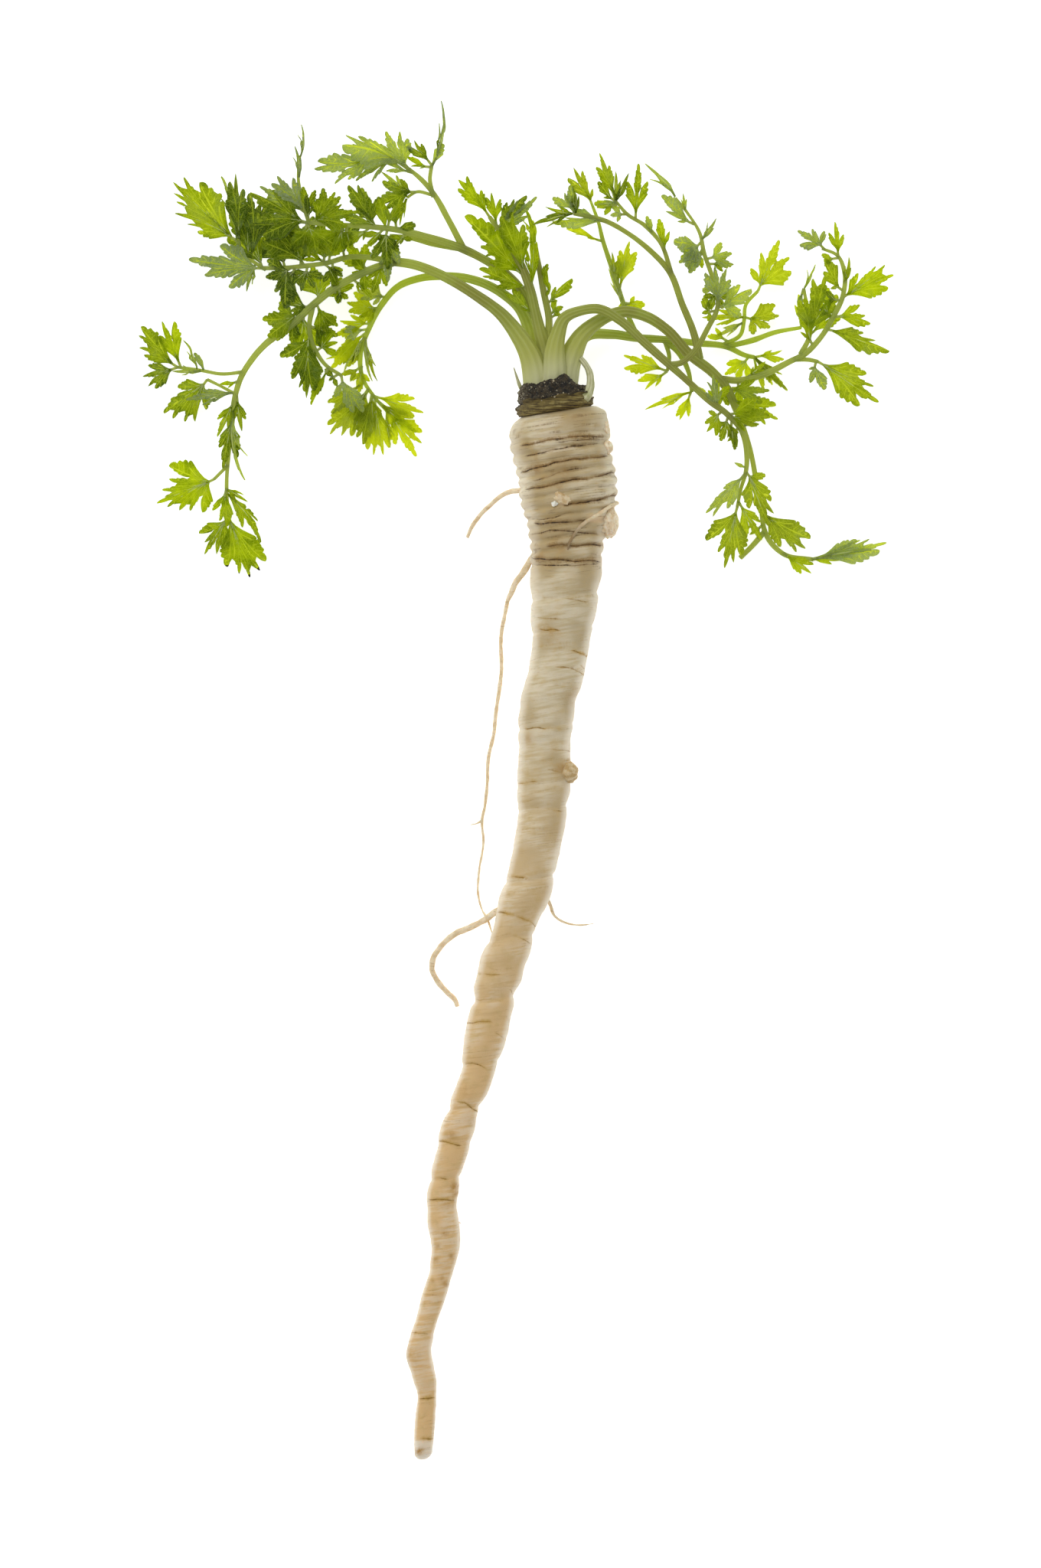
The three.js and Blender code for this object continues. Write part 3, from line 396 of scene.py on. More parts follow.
# The root.
root = {
    "sides": 120, "top": 66, "bottom": -234.2, "lastRing": -232.7, "sampling": 0.25,
    "fineFrom": 20, "fineStep": 0.24, "coarseStep": 0.5,
    # How far corners are evened out: of the middle line, the radius, the shoulder's, the clearance.
    "evened": {"middle": 2.2, "radius": 1.7, "shoulder": 0.6, "clear": 4}, "shoulder": (58, 63),
    "tipLength": 2.2, "tipEnd": -234.45,
    "pressed": 0.4, "flatBelow": 0.3, "ringTilt": 0.14,
    # Relief and play: a height, and the size of its lumps.
    "lumps": (0.16, 3.4), "ripples": (0.07, (0.8, 7, 7)), "knuckles": (0.34, (3.6, 30, 30)),
    "wobble": (0.5, (9, 7, 7)), "drift": (0.35, 2.6), "scarLumps": (0.2, 1.9), "scarGrit": (0.07, 0.8),
    "creaseDepth": 0.7, "creaseWidth": 0.8,
    "waistDepth": 0.5, "waistWidth": 2.6, "waistFade": (-20, 20),  # waists set in over this range of -Y
    "wrinkleDepth": 0.32, "wrinkleWidth": 0.36, "wrinkleLip": 0.1, "lipWidth": 1.1,
    "wrinkleEnds": (2, 1),  # a wrinkle fades in from this far outside its ends to this far inside
    "dirtReach": (1.3, 0.8),  # dirt fades out between these distances from a wrinkle
    "knucklesFull": 6, "reliefFull": 3,  # the radius from which they stand at their full height
    "stainsDown": -0.2,  # stains stop here on the underside, where -1 is the lowest line
    "farthest": 3.0,  # how far from its nearest wrinkle a place can tell it
    "underShift": 2.3,  # wrinkles slant by this much round the underside
    "seed": 5,
    # Colours, where a pair is of the upper and the lower root. Edge is a painted glow along the root's sides,
    # and sunk is painted shade in the creases.
    "tints": {
        "light": ("d0bf98", "d2c29d"), "dull": ("b9a378", "bdaa83"), "golden": "ddb982", "warm": "c9ac72",
        "bands": "b5945c", "sunk": "a88e56", "pale": "efe5d2", "edge": "fbf1dc", "peach": "e3c59a",
        "stain": ("9c7438", "b08236"), "smear": ("8a672f", "c29c4c"), "faint": ("7e5e30", "b08a3c"),
        "brown": ("76541f", "b08632"), "dark": ("30220e", "8c6622"),
    },
}
crownEdge = [(66.55, 0.5), (66.5, 0.72), (66.35, 0.88), (66.15, 0.96)]  # Y, share of the radius
tipEdge = [0.97, 0.9, 0.8, 0.66, 0.5, 0.3]  # share of the radius
# From the shoulder to the tip: Y, X of the middle, radius.
rootRoute = [
    [66, -0.4, 10.4], [64.9, -0.7, 13.1], [61.6, -0.8, 14], [57.2, -0.4, 14.1], [52.8, 0.3, 14],
    [48.4, 1.5, 14.1], [44, 2.2, 14.1], [39.6, 2.4, 13.4], [35.2, 2.2, 12.2], [30.8, 1.8, 11.2],
    [26.4, 1.5, 10.5], [17.6, 1.3, 10.1], [8.8, 0.8, 9.35], [0, 0.1, 8.25], [-8.8, -1.4, 8.6],
    [-17.6, -4.1, 8.3], [-26.4, -4.6, 7.7], [-35.2, -5.1, 7.5], [-44, -5, 7.4], [-52.8, -5.7, 7],
    [-61.6, -7.5, 6.8], [-68.2, -9.2, 7.6], [-74.8, -10.8, 7.4], [-79.2, -12.4, 6.5], [-88, -15.7, 7.1],
    [-96.8, -18, 6.6], [-105.6, -20.2, 6.2], [-114.4, -21.9, 6.1], [-123.2, -23.8, 5.3],
    [-129.8, -26.2, 5.2], [-136.4, -29.3, 4.9], [-145.2, -30.9, 4.9], [-154, -33.6, 4.5],
    [-160.6, -34.3, 4.3], [-167.2, -33.8, 4.35], [-173.8, -32.8, 3.9], [-180.4, -34.4, 3.6],
    [-189.2, -37, 3.5], [-198, -39.7, 3.4], [-203.5, -41.4, 3.7], [-209, -39.6, 3.4], [-215.6, -38.3, 2.75],
    [-224.4, -39.2, 2.75], [-230, -39.5, 2.85], [-234.3, -39.5, 2.4],
]
# Where the underside leaves the floor: Y and clearance.
rootLift = [[66, 1], [52, 0], [-60, 0], [-110, 0.8], [-165, 1.6], [-235, 0.5]]
# Creases between the rings: Y and share of the full depth.
creases = [
    [59, 0.8], [55.4, 1], [52.1, 1], [49, 1], [46.2, 0.9], [42.9, 1], [39.6, 1], [36.6, 1], [33.6, 0.9],
    [30.4, 1], [27.4, 0.9], [23.6, 0.8], [13.2, 0.6], [3.7, 0.5], [-24.2, 0.4], [-47.5, 0.4], [-67.8, 0.6],
    [-84.5, 0.5], [-102.3, 0.5], [-120.3, 0.5], [-133.1, 0.5], [-153.6, 0.5],
]
# Wrinkles on top: share of the depth, soil in them, and X and Y of points along them.
wrinkles = [
    (0.45, 0.9, (-10.8, 55.9), (-3.7, 57.4), (5.5, 58.6), (12.5, 58.7)),
    (0.2, 0.6, (-0.2, 56.8), (5.9, 57.6), (12.5, 57.9)),
    (0.35, 0.65, (-9.9, 53), (-5.1, 54.1), (0.2, 55), (3.7, 55.7), (7.3, 56.1), (10.8, 56.8)),
    (0.6, 1, (-10.8, 48.4), (-7.7, 49.5), (-2.4, 50.8), (3.7, 51.9), (13, 53.1)),
    (0.3, 0.55, (-8.1, 45.8), (-2.9, 47.3), (0.2, 48.4), (3.7, 49.1), (10.3, 50.2)),
    (0.5, 0.95, (-9.5, 43.6), (-5.1, 44.2), (0.2, 45.3), (3.7, 46.2), (8.1, 46.6), (14.7, 48.4)),
    (0.25, 0.35, (-9.5, 40.9), (-4.2, 42), (1.1, 43.1), (5.9, 43.6)),
    (0.2, 0.35, (9.9, 45.8), (13.4, 46.2)), (0.2, 0.35, (10.8, 44.4), (16.1, 44.9)),
    (0.2, 0.3, (-9.5, 37.6), (-5.9, 37.8)),
    (0.55, 0.9, (1.1, 38.7), (5.5, 39.8), (10.8, 40.7), (15.6, 42)),
    (0.3, 0.5, (-9, 35), (-2.4, 35.2), (1.1, 36.5), (5.5, 37)),
    (0.45, 0.85, (-7.7, 33.9), (-2.4, 33.9), (3.7, 34.3), (6.8, 35)),
    (0.35, 0.6, (-8.1, 31), (-3.3, 31.9), (2.9, 31.7), (10.8, 30.8)),
    (0.2, 0.3, (-8.1, 29.5), (1.1, 29.3)),
    (0.45, 0.95, (-3.7, 27.5), (0.2, 27.9), (2.9, 27.7), (11.7, 27.7)),
    (0.5, 0.95, (-7.7, 24.2), (-3.3, 23.8), (3.7, 23.3), (10.3, 23.1)),
    (0.2, 0.4, (8.1, 25.1), (11.2, 24.9)), (0.35, 0.6, (-7.7, 22.4), (-0.7, 22), (9.5, 22.2)),
    (0.3, 0.25, (-5.9, 20.9), (3.7, 19.6), (9.9, 19.6)), (0.2, 0.15, (-5.1, 18), (1.1, 18)),
    (0.2, 0.2, (3.7, 16.1), (10.8, 16.9)), (0.35, 0.5, (-5.9, 12.8), (-0.7, 12.8), (7.3, 11.7)),
    (0.2, 0.2, (-5.9, 11.4), (3.7, 11)), (0.3, 0.5, (-7.3, 7.1), (-0.2, 6.7)),
    (0.3, 0.7, (-5.9, 3.7), (-1.1, 3.5)), (0.2, 0.8, (3.3, -2.6), (5.5, -3.1), (7.7, -3.7)),
    (0.35, 0.6, (-1.1, -6.8), (2.4, -7.5), (6.8, -9)), (0.2, 0.5, (5.5, -6.4), (7, -7.3)),
    (0.2, 0.3, (-10.8, -20.7), (-8.1, -20.2)),
    (0.35, 0.55, (-10.8, -24.6), (-3.3, -24.6), (2, -24.6)),
    (0.3, 0.5, (-2.4, -30.8), (1.1, -30.8), (3.3, -31.5)), (0.4, 0.6, (-0.2, -33.9), (3.3, -33.7)),
    (0.2, 0.4, (-3.7, -36.5), (-0.2, -37.4)),
    (0.35, 0.65, (-12.1, -40.5), (-9.9, -39.8), (-7.3, -39.8)),
    (0.25, 0.5, (-11.7, -46), (-8.1, -45.1)), (0.25, 0.5, (-7.7, -47.3), (-4, -47.7), (0, -48.4)),
    (0.25, 0.25, (-8.4, -53.7), (-2, -54.6)), (0.25, 0.25, (-11.7, -58.5), (-4.4, -59.2)),
    (0.45, 0.8, (-15.6, -67.1), (-12.1, -67.3), (-9.5, -67.8)),
    (0.3, 0.2, (-9.5, -67.8), (-2.9, -69.7)),
    (0.5, 0.8, (-17.8, -77.2), (-13.4, -78.1), (-9, -79.6), (-6.8, -81.6)),
    (0.3, 0.5, (-13.6, -83.8), (-11.2, -84.5), (-9, -86)), (0.2, 0.3, (-21.6, -92.8), (-17.8, -93.7)),
    (0.4, 0.65, (-24, -95), (-17.8, -95)), (0.2, 0.3, (-14.3, -93.5), (-11.7, -94.8)),
    (0.2, 0.5, (-14.3, -99.4), (-13, -100.5)),
    (0.25, 0.5, (-24.9, -102.3), (-19.4, -102.3), (-16.1, -102.5)),
    (0.2, 0.3, (-21.6, -104.3), (-18.3, -104.9)),
    (0.4, 0.75, (-26.6, -109.1), (-23.1, -108.7), (-20.2, -108.7)),
    (0.3, 0.6, (-18.7, -111.5), (-16.5, -113.1)),
    (0.25, 0.4, (-27.5, -116.4), (-25.3, -115.5), (-20, -115.7)),
    (0.3, 0.65, (-28.2, -121), (-25.7, -120.3), (-21.3, -121.9)),
    (0.4, 0.75, (-29.5, -131.3), (-27.7, -131.8), (-23.5, -134.6)),
    (0.2, 0.3, (-32.3, -134.6), (-30.6, -135.1)), (0.2, 0.4, (-34.1, -137.1), (-31.9, -137.3)),
    (0.45, 0.95, (-34.5, -142.8), (-29.3, -144.3)), (0.2, 0.3, (-35.6, -147.8), (-33.7, -148.3)),
    (0.2, 0.3, (-36.3, -150.7), (-33, -150.9)), (0.25, 0.6, (-36.3, -153.3), (-32.6, -153.8)),
    (0.4, 0.85, (-37, -159.5), (-31, -159.7)), (0.3, 0.4, (-39.6, -186.8), (-34.8, -187.2)),
    (0.3, 0.15, (-39.8, -189.2), (-33.7, -189.2)), (0.3, 0.5, (-43.3, -198), (-38.1, -198)),
    (0.2, 0.4, (-40.9, -214.3), (-38.9, -214.1)), (0.35, 0.85, (-40, -216.7), (-37, -216.7)),
    (0.2, 0.4, (-40.9, -222.6), (-38.1, -221.3)), (0.3, 0.75, (-40.3, -228.4), (-37.4, -228.4)),
]
# Brown stains: X, Y, radius and strength.
stains = [
    (-7.7, 49.5, 1.6, 0.8), (0.7, 48.6, 2.6, 0.45), (-0.7, 55, 3.5, 0.25), (0.2, 27.9, 2.2, 0.6),
    (-6.2, 24.2, 1.4, 0.6), (9.7, 23.8, 1.6, 0.5), (-3.7, 2.6, 3.2, 0.45), (3.7, -15.8, 2.2, 0.45),
    (-9.5, -27.5, 1.4, 0.35), (2.4, -37, 2.6, 0.3), (-0.4, -36.2, 1.4, 0.8), (-27.7, -128.5, 1.8, 0.5),
    (-25.7, -136.6, 1.6, 0.35), (-31.5, -140.8, 1.8, 0.5), (-30.6, -156, 1.3, 0.9),
    (-30.4, -157.7, 1.1, 0.8), (-31.9, -160.4, 1.8, 0.6), (-33.2, -169.2, 0.8, 0.95),
    (-35.4, -172.9, 0.7, 0.6), (-31.5, -175.8, 0.8, 0.7), (-35.9, -176.7, 0.9, 0.5),
    (-34.5, -181.9, 1, 0.6), (-33.2, -183.9, 1, 0.7), (-36.7, -182.8, 0.7, 0.5),
    (-42.9, -203.9, 2.4, 0.45), (-44.2, -206.6, 0.9, 0.6), (-40.5, -232.1, 1.2, 1.3),
    (-7.3, 52.4, 0.8, 0.3), (10.3, 61.6, 1.1, 0.6), (3.1, 61.6, 6, 0.16), (-0.7, 44, 1.2, 0.4),
]
# Places where the skin stands out: X, Y, Z, reach across, reach along, height, peach tint.
knobs = [
    (13.4, 36.4, 9, 3.6, 5, 1.4, 0.9), (13.2, 32.6, 10, 2.6, 2.2, 1, 0.9), (9, 35.4, 17, 3, 1.7, 0.6, 1),
    (12.8, 56.4, 12, 2, 1.8, 0.6, 0.8), (12.6, 61.2, 12, 2.4, 2.2, 0.5, 0.4),
    (1.8, -37.2, 9, 3, 2.8, 1.1, 0.3), (0.6, 40.3, 26, 2.8, 1.8, 0.3, 0.6),
    (-3.9, -77, 8, 1.6, 1.2, 0.5, 0.4), (-45.4, -198.5, 5, 1.6, 2, 0.6, 0.1),
]
# Growths that lie on the skin: X, Y, Z or None for on top, reach along X, Y and Z, slant, roughness, kind.
growths = [
    (13.2, 35.2, 13.4, 3.1, 5, 4.8, -0.12, 0.42, "scar"), (13, 56, 17, 1.7, 2.1, 3, -0.2, 0.32, "scar"),
    (12, 61.9, 16.6, 1.7, 2.8, 3.4, -0.3, 0.26, "scar"), (2, -37.2, 10.4, 2.8, 3, 3, 0, 0.42, "bud"),
    (0.1, 40.7, None, 2.5, 1.7, 0.7, -0.3, 0.3, "flap"), (-2, 39.6, None, 1, 0.95, 0.8, 0.3, 0.25, "core"),
]


def evened(values, width):
    spacing = root["sampling"]
    reach = math.ceil(3 * width / spacing)
    weights = np.exp(-0.5 * (np.arange(-reach, reach + 1) * spacing / width) ** 2)
    return np.convolve(np.pad(values, reach, mode="edge"), weights / weights.sum(), "valid")


def rootLine():  # Y, X of the middle, radius, clearance and full radius of every ring
    widths = root["evened"]
    fine = np.arange(root["top"], root["bottom"], -root["sampling"])
    rows = np.array(rootRoute)[::-1]
    middle = evened(np.interp(fine, rows[:, 0], rows[:, 1]), widths["middle"])
    radius = np.interp(fine, rows[:, 0], rows[:, 2])
    shoulder = fade(fine, *root["shoulder"])
    radius = shoulder * evened(radius, widths["shoulder"]) + (1 - shoulder) * evened(radius, widths["radius"])
    lift = np.array(rootLift)[::-1]
    clear = evened(np.interp(fine, lift[:, 0], lift[:, 1]), widths["clear"])
    rings = np.concatenate([
        np.arange(root["top"] - 0.1, root["fineFrom"], -root["fineStep"]),
        np.arange(root["fineFrom"], root["lastRing"], -root["coarseStep"]),
    ])
    middle, radius, clear = (np.interp(rings, fine[::-1], values[::-1]) for values in (middle, radius, clear))
    body = np.column_stack([rings, middle, radius, clear, radius])

    def endRing(at, y, share):
        return (y, middle[at], radius[at] * share, clear[at], radius[at])
    top = [endRing(0, y, share) for y, share in crownEdge]
    end = [endRing(-1, root["tipLength"] * (1 - math.sqrt(1 - share ** 2)) + root["tipEnd"], share)
           for share in tipEdge]
    return np.concatenate([top, body, end])


def rootSkin():
    line = rootLine()
    sides = root["sides"]
    angle = 2 * np.pi * (np.arange(sides) + 0.5) / sides
    y, middle, radius, clear, full = (column[:, None] for column in line.T)
    out = stacked(np.cos(angle), 0 * y, np.sin(angle))
    across = radius * np.cos(angle)
    height = full - root["pressed"] + clear
    points = np.stack([middle + across, y + root["ringTilt"] * across, height + radius * np.sin(angle)], -1)
    rounded = stacked(y, full * np.cos(angle), full * np.sin(angle))
    lift = played(root, "lumps", rounded, 0) + played(root, "ripples", rounded, 1)
    lift += played(root, "knuckles", rounded, 2) * np.minimum(1, full / root["knucklesFull"])
    wobble = y + played(root, "wobble", rounded, 3)
    hollow = np.zeros(across.shape)
    for at, share in creases:
        hollow += share * bell(wobble - at, root["creaseWidth"])
        waist = root["waistDepth"] * share * bell(wobble - at, root["waistWidth"])
        lift -= waist * fade(-at, *root["waistFade"])
    lift -= root["creaseDepth"] * hollow
    offset = np.full(across.shape, root["farthest"])
    dirt = np.zeros(across.shape)
    seen = points[..., 1] + root["underShift"] * fade(-np.sin(angle), 0, 1)
    drift = played(root, "drift", rounded * (0.2, 1, 1), 4)
    outside, within = root["wrinkleEnds"]
    farDirt, nearDirt = root["dirtReach"]
    for share, soil, *spots in wrinkles:
        x, at = np.array(sorted(spots)).T
        off = seen + drift - np.interp(points[..., 0], x, at)
        ends = fade(points[..., 0], x[0] - outside, x[0] + within)
        ends *= fade(-points[..., 0], -x[-1] - outside, within - x[-1])
        cut = root["wrinkleDepth"] * (bell(off, root["wrinkleWidth"]) * ends)
        lift += share * (root["wrinkleLip"] * (bell(off, root["lipWidth"]) * ends) - cut)
        nearer = (np.abs(off) < np.abs(offset)) & (ends > 0)
        offset = np.where(nearer, np.clip(off, -root["farthest"], root["farthest"]), offset)
        dirt = np.where(nearer, soil * ends * fade(-np.abs(off), -farDirt, -nearDirt), dirt)
    stain = np.zeros(across.shape)
    for x, at, reach, strength in stains:
        far = np.hypot(points[..., 0] - x, points[..., 1] - at)
        shown = np.sin(angle) > root["stainsDown"]
        stain = np.maximum(stain, strength * bell(far, reach) * shown)
    peach = np.zeros(across.shape)
    scar = 1 + played(root, "scarLumps", points, 5) + played(root, "scarGrit", points, 6)
    for x, at, z, wide, long, tall, tinted in knobs:
        near = np.exp(-((points[..., 0] - x) ** 2 + (0.5 * (points[..., 2] - z)) ** 2) / wide ** 2
                      - ((points[..., 1] - at) / long) ** 2)
        lift += tall * near * scar
        peach = np.maximum(peach, tinted * near)
    lift *= np.minimum(1, radius / full + 0.1) * np.minimum(1, full / root["reliefFull"])
    points = points + out * lift[..., None]
    points[..., 2] = np.where(points[..., 2] < root["flatBelow"], 0, points[..., 2])
    # edge marks the root's sides, which the finish paints lighter as a painted glow; hollow marks the
    # creases, which it paints darker as painted shade.
    numbers = {
        "offset": offset, "dirt": dirt, "stain": stain, "peach": peach, "hollow": hollow,
        "edge": np.abs(np.cos(angle)) + 0 * across, "gap": np.abs(offset),
    }
    numbers = {name: np.append(values.ravel(), [0, 0]) for name, values in numbers.items()}
    return closed(points), ringFaces(len(line), sides), numbers


def rootFinish():
    made = Finish("root_skin")
    tints = root["tints"]
    where = made.place()
    across, along, up = made.split(where)
    tilted = along - root["ringTilt"] * across
    streaks = made.noise(made.vector(0.13 * across, tilted, 0.13 * up), 1.1, 3.0, 0.6)
    rows = made.noise(made.vector(0.05 * across, tilted, 0.05 * up), 1.5, 0.0)
    patches = made.noise(where, 15.0, 2.0)
    mottle = made.noise(where, 3.0, 3.0, 0.6)
    grain = made.noise(where, 0.35, 2.0, 0.6)
    lower = along.ramp(22, 8)

    def pair(name):
        return made.mix(lower, *tints[name])
    cream = made.mix(patches.ramp(0.38, 0.64), pair("light"), pair("dull"))
    golden = made.mix(along.ramp(0, -150), cream, tints["golden"])
    warm = made.mix(0.45 * mottle.ramp(0.48, 0.72), golden, tints["warm"])
    banded = made.mix((0.3 - 0.1 * lower) * streaks.ramp(0.52, 0.72), warm, tints["bands"])
    # Painted shade: the skin is darker in the creases between the rings.
    sunk = made.mix(0.3 * made.stored("hollow").ramp(0.2, 1.0), banded, tints["sunk"])
    crest = patches.ramp(0.6, 0.4) * streaks.ramp(0.6, 0.4)
    pale = made.mix(0.35 * crest + 0.6 * along.ramp(-228.2, -229.4), sunk, tints["pale"])
    # Painted glow: the skin is lighter toward the root's sides, as if lit through from the floor beside it.
    lit = made.mix(made.stored("edge").ramp(0.66, 1.0) * (0.45 + 0.2 * lower), pale, tints["edge"])
    peach = made.stored("peach") * (0.5 + mottle)
    peachy = made.mix(0.85 * peach.ramp(0.18, 0.5), lit, tints["peach"])
    stain = made.stored("stain") * (0.35 + 0.9 * mottle.ramp(0.35, 0.65))
    stained = made.mix(0.9 * stain, peachy, pair("stain"))
    # Wrinkles: a row of dark beads with a smeared brown edge, and faint dotted rows between them.
    offset = made.stored("offset")
    dirt = made.stored("dirt")
    beads = made.noise(made.vector(across, 0.3 * tilted, up), 0.7, 3.0, 0.7)
    dotted = beads.ramp(0.42, 0.6)
    stretches = made.noise(where, 5.0, 1.0)
    soil = dirt * (2.2 * stretches + 0.8 * mottle - 0.5)
    near = made.stored("gap").ramp(0.5, 0.3) * soil.ramp(0.2, 0.9)
    core = (offset.size() - 0.14 * beads).ramp(0.17, 0.0) * near
    line = core * (0.25 + 0.75 * dotted) * (0.4 + 0.6 * stretches.ramp(0.38, 0.58))
    ragged = (offset + 1.2 * (grain - 0.5) - 0.1).size()
    smear = ragged.ramp(0.95, 0.1) * (dirt * (0.1 + 1.8 * mottle)).ramp(0.3, 1.1)
    faintRow = (rows - 0.5).size().ramp(0.045, 0.01) * (0.3 + 0.7 * dotted) * stretches.ramp(0.42, 0.6)
    smeared = made.mix(0.85 * smear, stained, pair("smear"))
    faint = made.mix((0.55 - 0.3 * lower) * faintRow, smeared, pair("faint"))
    brown = made.mix(0.8 * core, faint, pair("brown"))
    dark = made.mix((0.95 - 0.3 * lower) * line, brown, pair("dark"))
    height = (0.35 - 0.15 * lower) * streaks + 0.15 * grain + 0.2 * mottle - 0.6 * line - 0.2 * faintRow
    return made.done(made.paint({
        "Base Color": dark, "Roughness": 0.45 + 0.3 * mottle, "Normal": made.bump(height, 0.4, 0.8),
        "Specular IOR Level": 0.4, **glowInside(0.25, (1.0, 0.75, 0.45), 2.0),
    }))


rootPoints, rootFaces, rootNumbers = rootSkin()
rootBody = meshPiece("root_body", rootPoints, rootFaces, rootFinish(), rootNumbers)
dress(rootBody, "taproot")
print("root made:", len(rootFaces), "faces")


def skinHeight(x, y):  # the height of the root's skin under a point, seen from above
    upper = rootPoints[rootPoints[:, 2] > 2]
    return upper[np.argmin((upper[:, 0] - x) ** 2 + (upper[:, 1] - y) ** 2), 2]


# Rootlets: X, Y, Z and radius, where a Z of None lies on the root's skin.
rootlet = {
    "Sides": 10, "Ribs": 3.0, "Rib Depth": 0.06, "Knob Size": 0.0021, "Knob Height": 0.00045,
    "spacing": 0.8, "thickness": 1.15,  # what every radius is multiplied by
    "curlEnd": (1.8, 26.4, 24),  # the darker end of the rootlet that curls over the shoulder
    "tints": {"light": "f0dfbe", "dull": "dfc89e", "hoops": "b29266", "end": "7a5a26"},
}
rootlets = [
    [(-8, 43.2, 10.5, 0.8), (-12, 43.6, 7.8, 0.7), (-15.4, 43.1, 5.6, 0.62), (-18, 41.6, 4, 0.6),
     (-20.6, 39.4, 2.6, 0.58), (-23.4, 36.6, 1.6, 0.55), (-25.6, 33.4, 1, 0.5), (-27, 30.4, 0.7, 0.42)],
    [(-6.4, 25.6, 10, 1), (-8.6, 23.8, 8.6, 0.85), (-10.6, 20.4, 6.9, 0.8), (-13.2, 17, 4.2, 0.75),
     (-14.2, 14.4, 2.8, 0.7), (-15.2, 12.4, 1.9, 0.55), (-16, 8.8, 1.2, 0.5), (-17.1, 3, 0.9, 0.5),
     (-17.2, -8.8, 0.7, 0.48), (-18.7, -19.8, 0.7, 0.46), (-19.4, -26.4, 0.6, 0.44), (-20.9, -33, 0.6, 0.42),
     (-21.2, -39.6, 0.6, 0.4), (-21.8, -46.2, 0.6, 0.38), (-22.7, -51, 0.6, 0.34), (-22.3, -57.2, 0.5, 0.3),
     (-23.5, -65, 0.5, 0.27), (-23.8, -72.6, 0.7, 0.25), (-22.7, -76.6, 1.2, 0.25),
     (-21.2, -79.2, 2.6, 0.24), (-19.4, -84, 4.5, 0.22), (-16.6, -86.5, 8, 0.16)],
    [(-22.7, -51, 0.6, 0.26), (-24.2, -51.8, 0.45, 0.2), (-26, -52.2, 0.4, 0.1)],
    [(-14.5, -76, 7, 0.95), (-18.3, -77, 5.4, 0.9), (-22, -79.6, 3.8, 0.8), (-26, -81.6, 2.6, 0.78),
     (-30.5, -83.6, 1.6, 0.76), (-34.2, -86.8, 1, 0.74), (-36.6, -90.4, 0.8, 0.72), (-37, -93.8, 0.75, 0.7),
     (-35.4, -97.2, 0.72, 0.68), (-32.6, -100.4, 0.7, 0.66), (-30.4, -102.6, 0.68, 0.62),
     (-29.8, -104.4, 0.66, 0.45)],
    [(-6, -70.4, 7, 0.85), (-4.4, -72.8, 4.6, 0.6), (-3.2, -75, 2.6, 0.42), (-1.8, -78.4, 1.2, 0.34),
     (1.6, -80.4, 0.6, 0.28), (5, -81, 0.4, 0.22), (9.4, -80.6, 0.3, 0.12)],
    [(-32.6, -164.4, 5, 0.3), (-30.2, -165.6, 4.2, 0.22), (-28.8, -166.6, 3.6, 0.1)],
    [(16, 39.9, 14, 0.5), (13.8, 38.8, 18.4, 0.52), (11, 36.7, None, 0.5), (8.1, 35.2, None, 0.46),
     (5.5, 33, None, 0.42), (3.7, 30.8, None, 0.37), (2.4, 28.4, None, 0.32), (1.8, 26.4, None, 0.2)],
    [(-12.9, 54.8, 13.6, 0.4), (-13.9, 55.3, 13.8, 0.26), (-14.6, 55.5, 13.9, 0.12)],
]


def barkFinish():  # thin dry skin of rootlets
    made = Finish("rootlet_skin")
    tints = rootlet["tints"]
    where = made.place()
    blotches = made.noise(where, 2.4, 3.0, 0.6)
    hoops = made.noise(made.place((0.5, 2.2, 1)), 0.9, 2.0)
    base = made.mix(blotches.ramp(0.35, 0.65), tints["light"], tints["dull"])
    ringed = made.mix(0.5 * hoops.ramp(0.58, 0.74), base, tints["hoops"])
    end = made.distance(where, rootlet["curlEnd"]).ramp(13, 2)
    tipped = made.mix(0.85 * end, ringed, tints["end"])
    return made.done(made.paint({
        "Base Color": tipped, "Roughness": 0.65 + 0.2 * blotches,
        "Normal": made.bump(hoops + 0.5 * blotches, 0.2, 0.7), **glowInside(0.2, (1.0, 0.6, 0.35), 1.2),
    }))


def onSkin(route):
    return [(x, y, skinHeight(x, y) + 0.8 * radius if z is None else z, rootlet["thickness"] * radius)
            for x, y, z, radius in route]


rootlet["Material"] = barkFinish()
rootletPiece = tubePiece("rootlets", [onSkin(route) for route in rootlets], rootlet)
dress(rootletPiece, "taproot")
print("rootlets made:", len(rootlets))


# Growths that lie on the root's skin: rough lumps, each a closed skin of rings along Y.
growth = {
    "sides": 40, "rings": 36, "pole": 0.12, "sunk": 0.2, "seed": 51,
    "coarse": (1, (0.6, 3, 1.2)), "middling": (0.7, 1.4), "fine": (0.3, 0.5),  # shares of the roughness
    "kinds": {"core": 1.0, "scar": 0.0, "flap": -0.6, "bud": -1.0},  # what the finish tells them apart by
    "tints": {
        "light": "fbedd2", "dull": "ecd3ac", "ridge": "b4905e", "rim": "86633a", "tan": "d6c096",
        "darkTan": "bfa06a", "core": "f3efe2",
    },
}


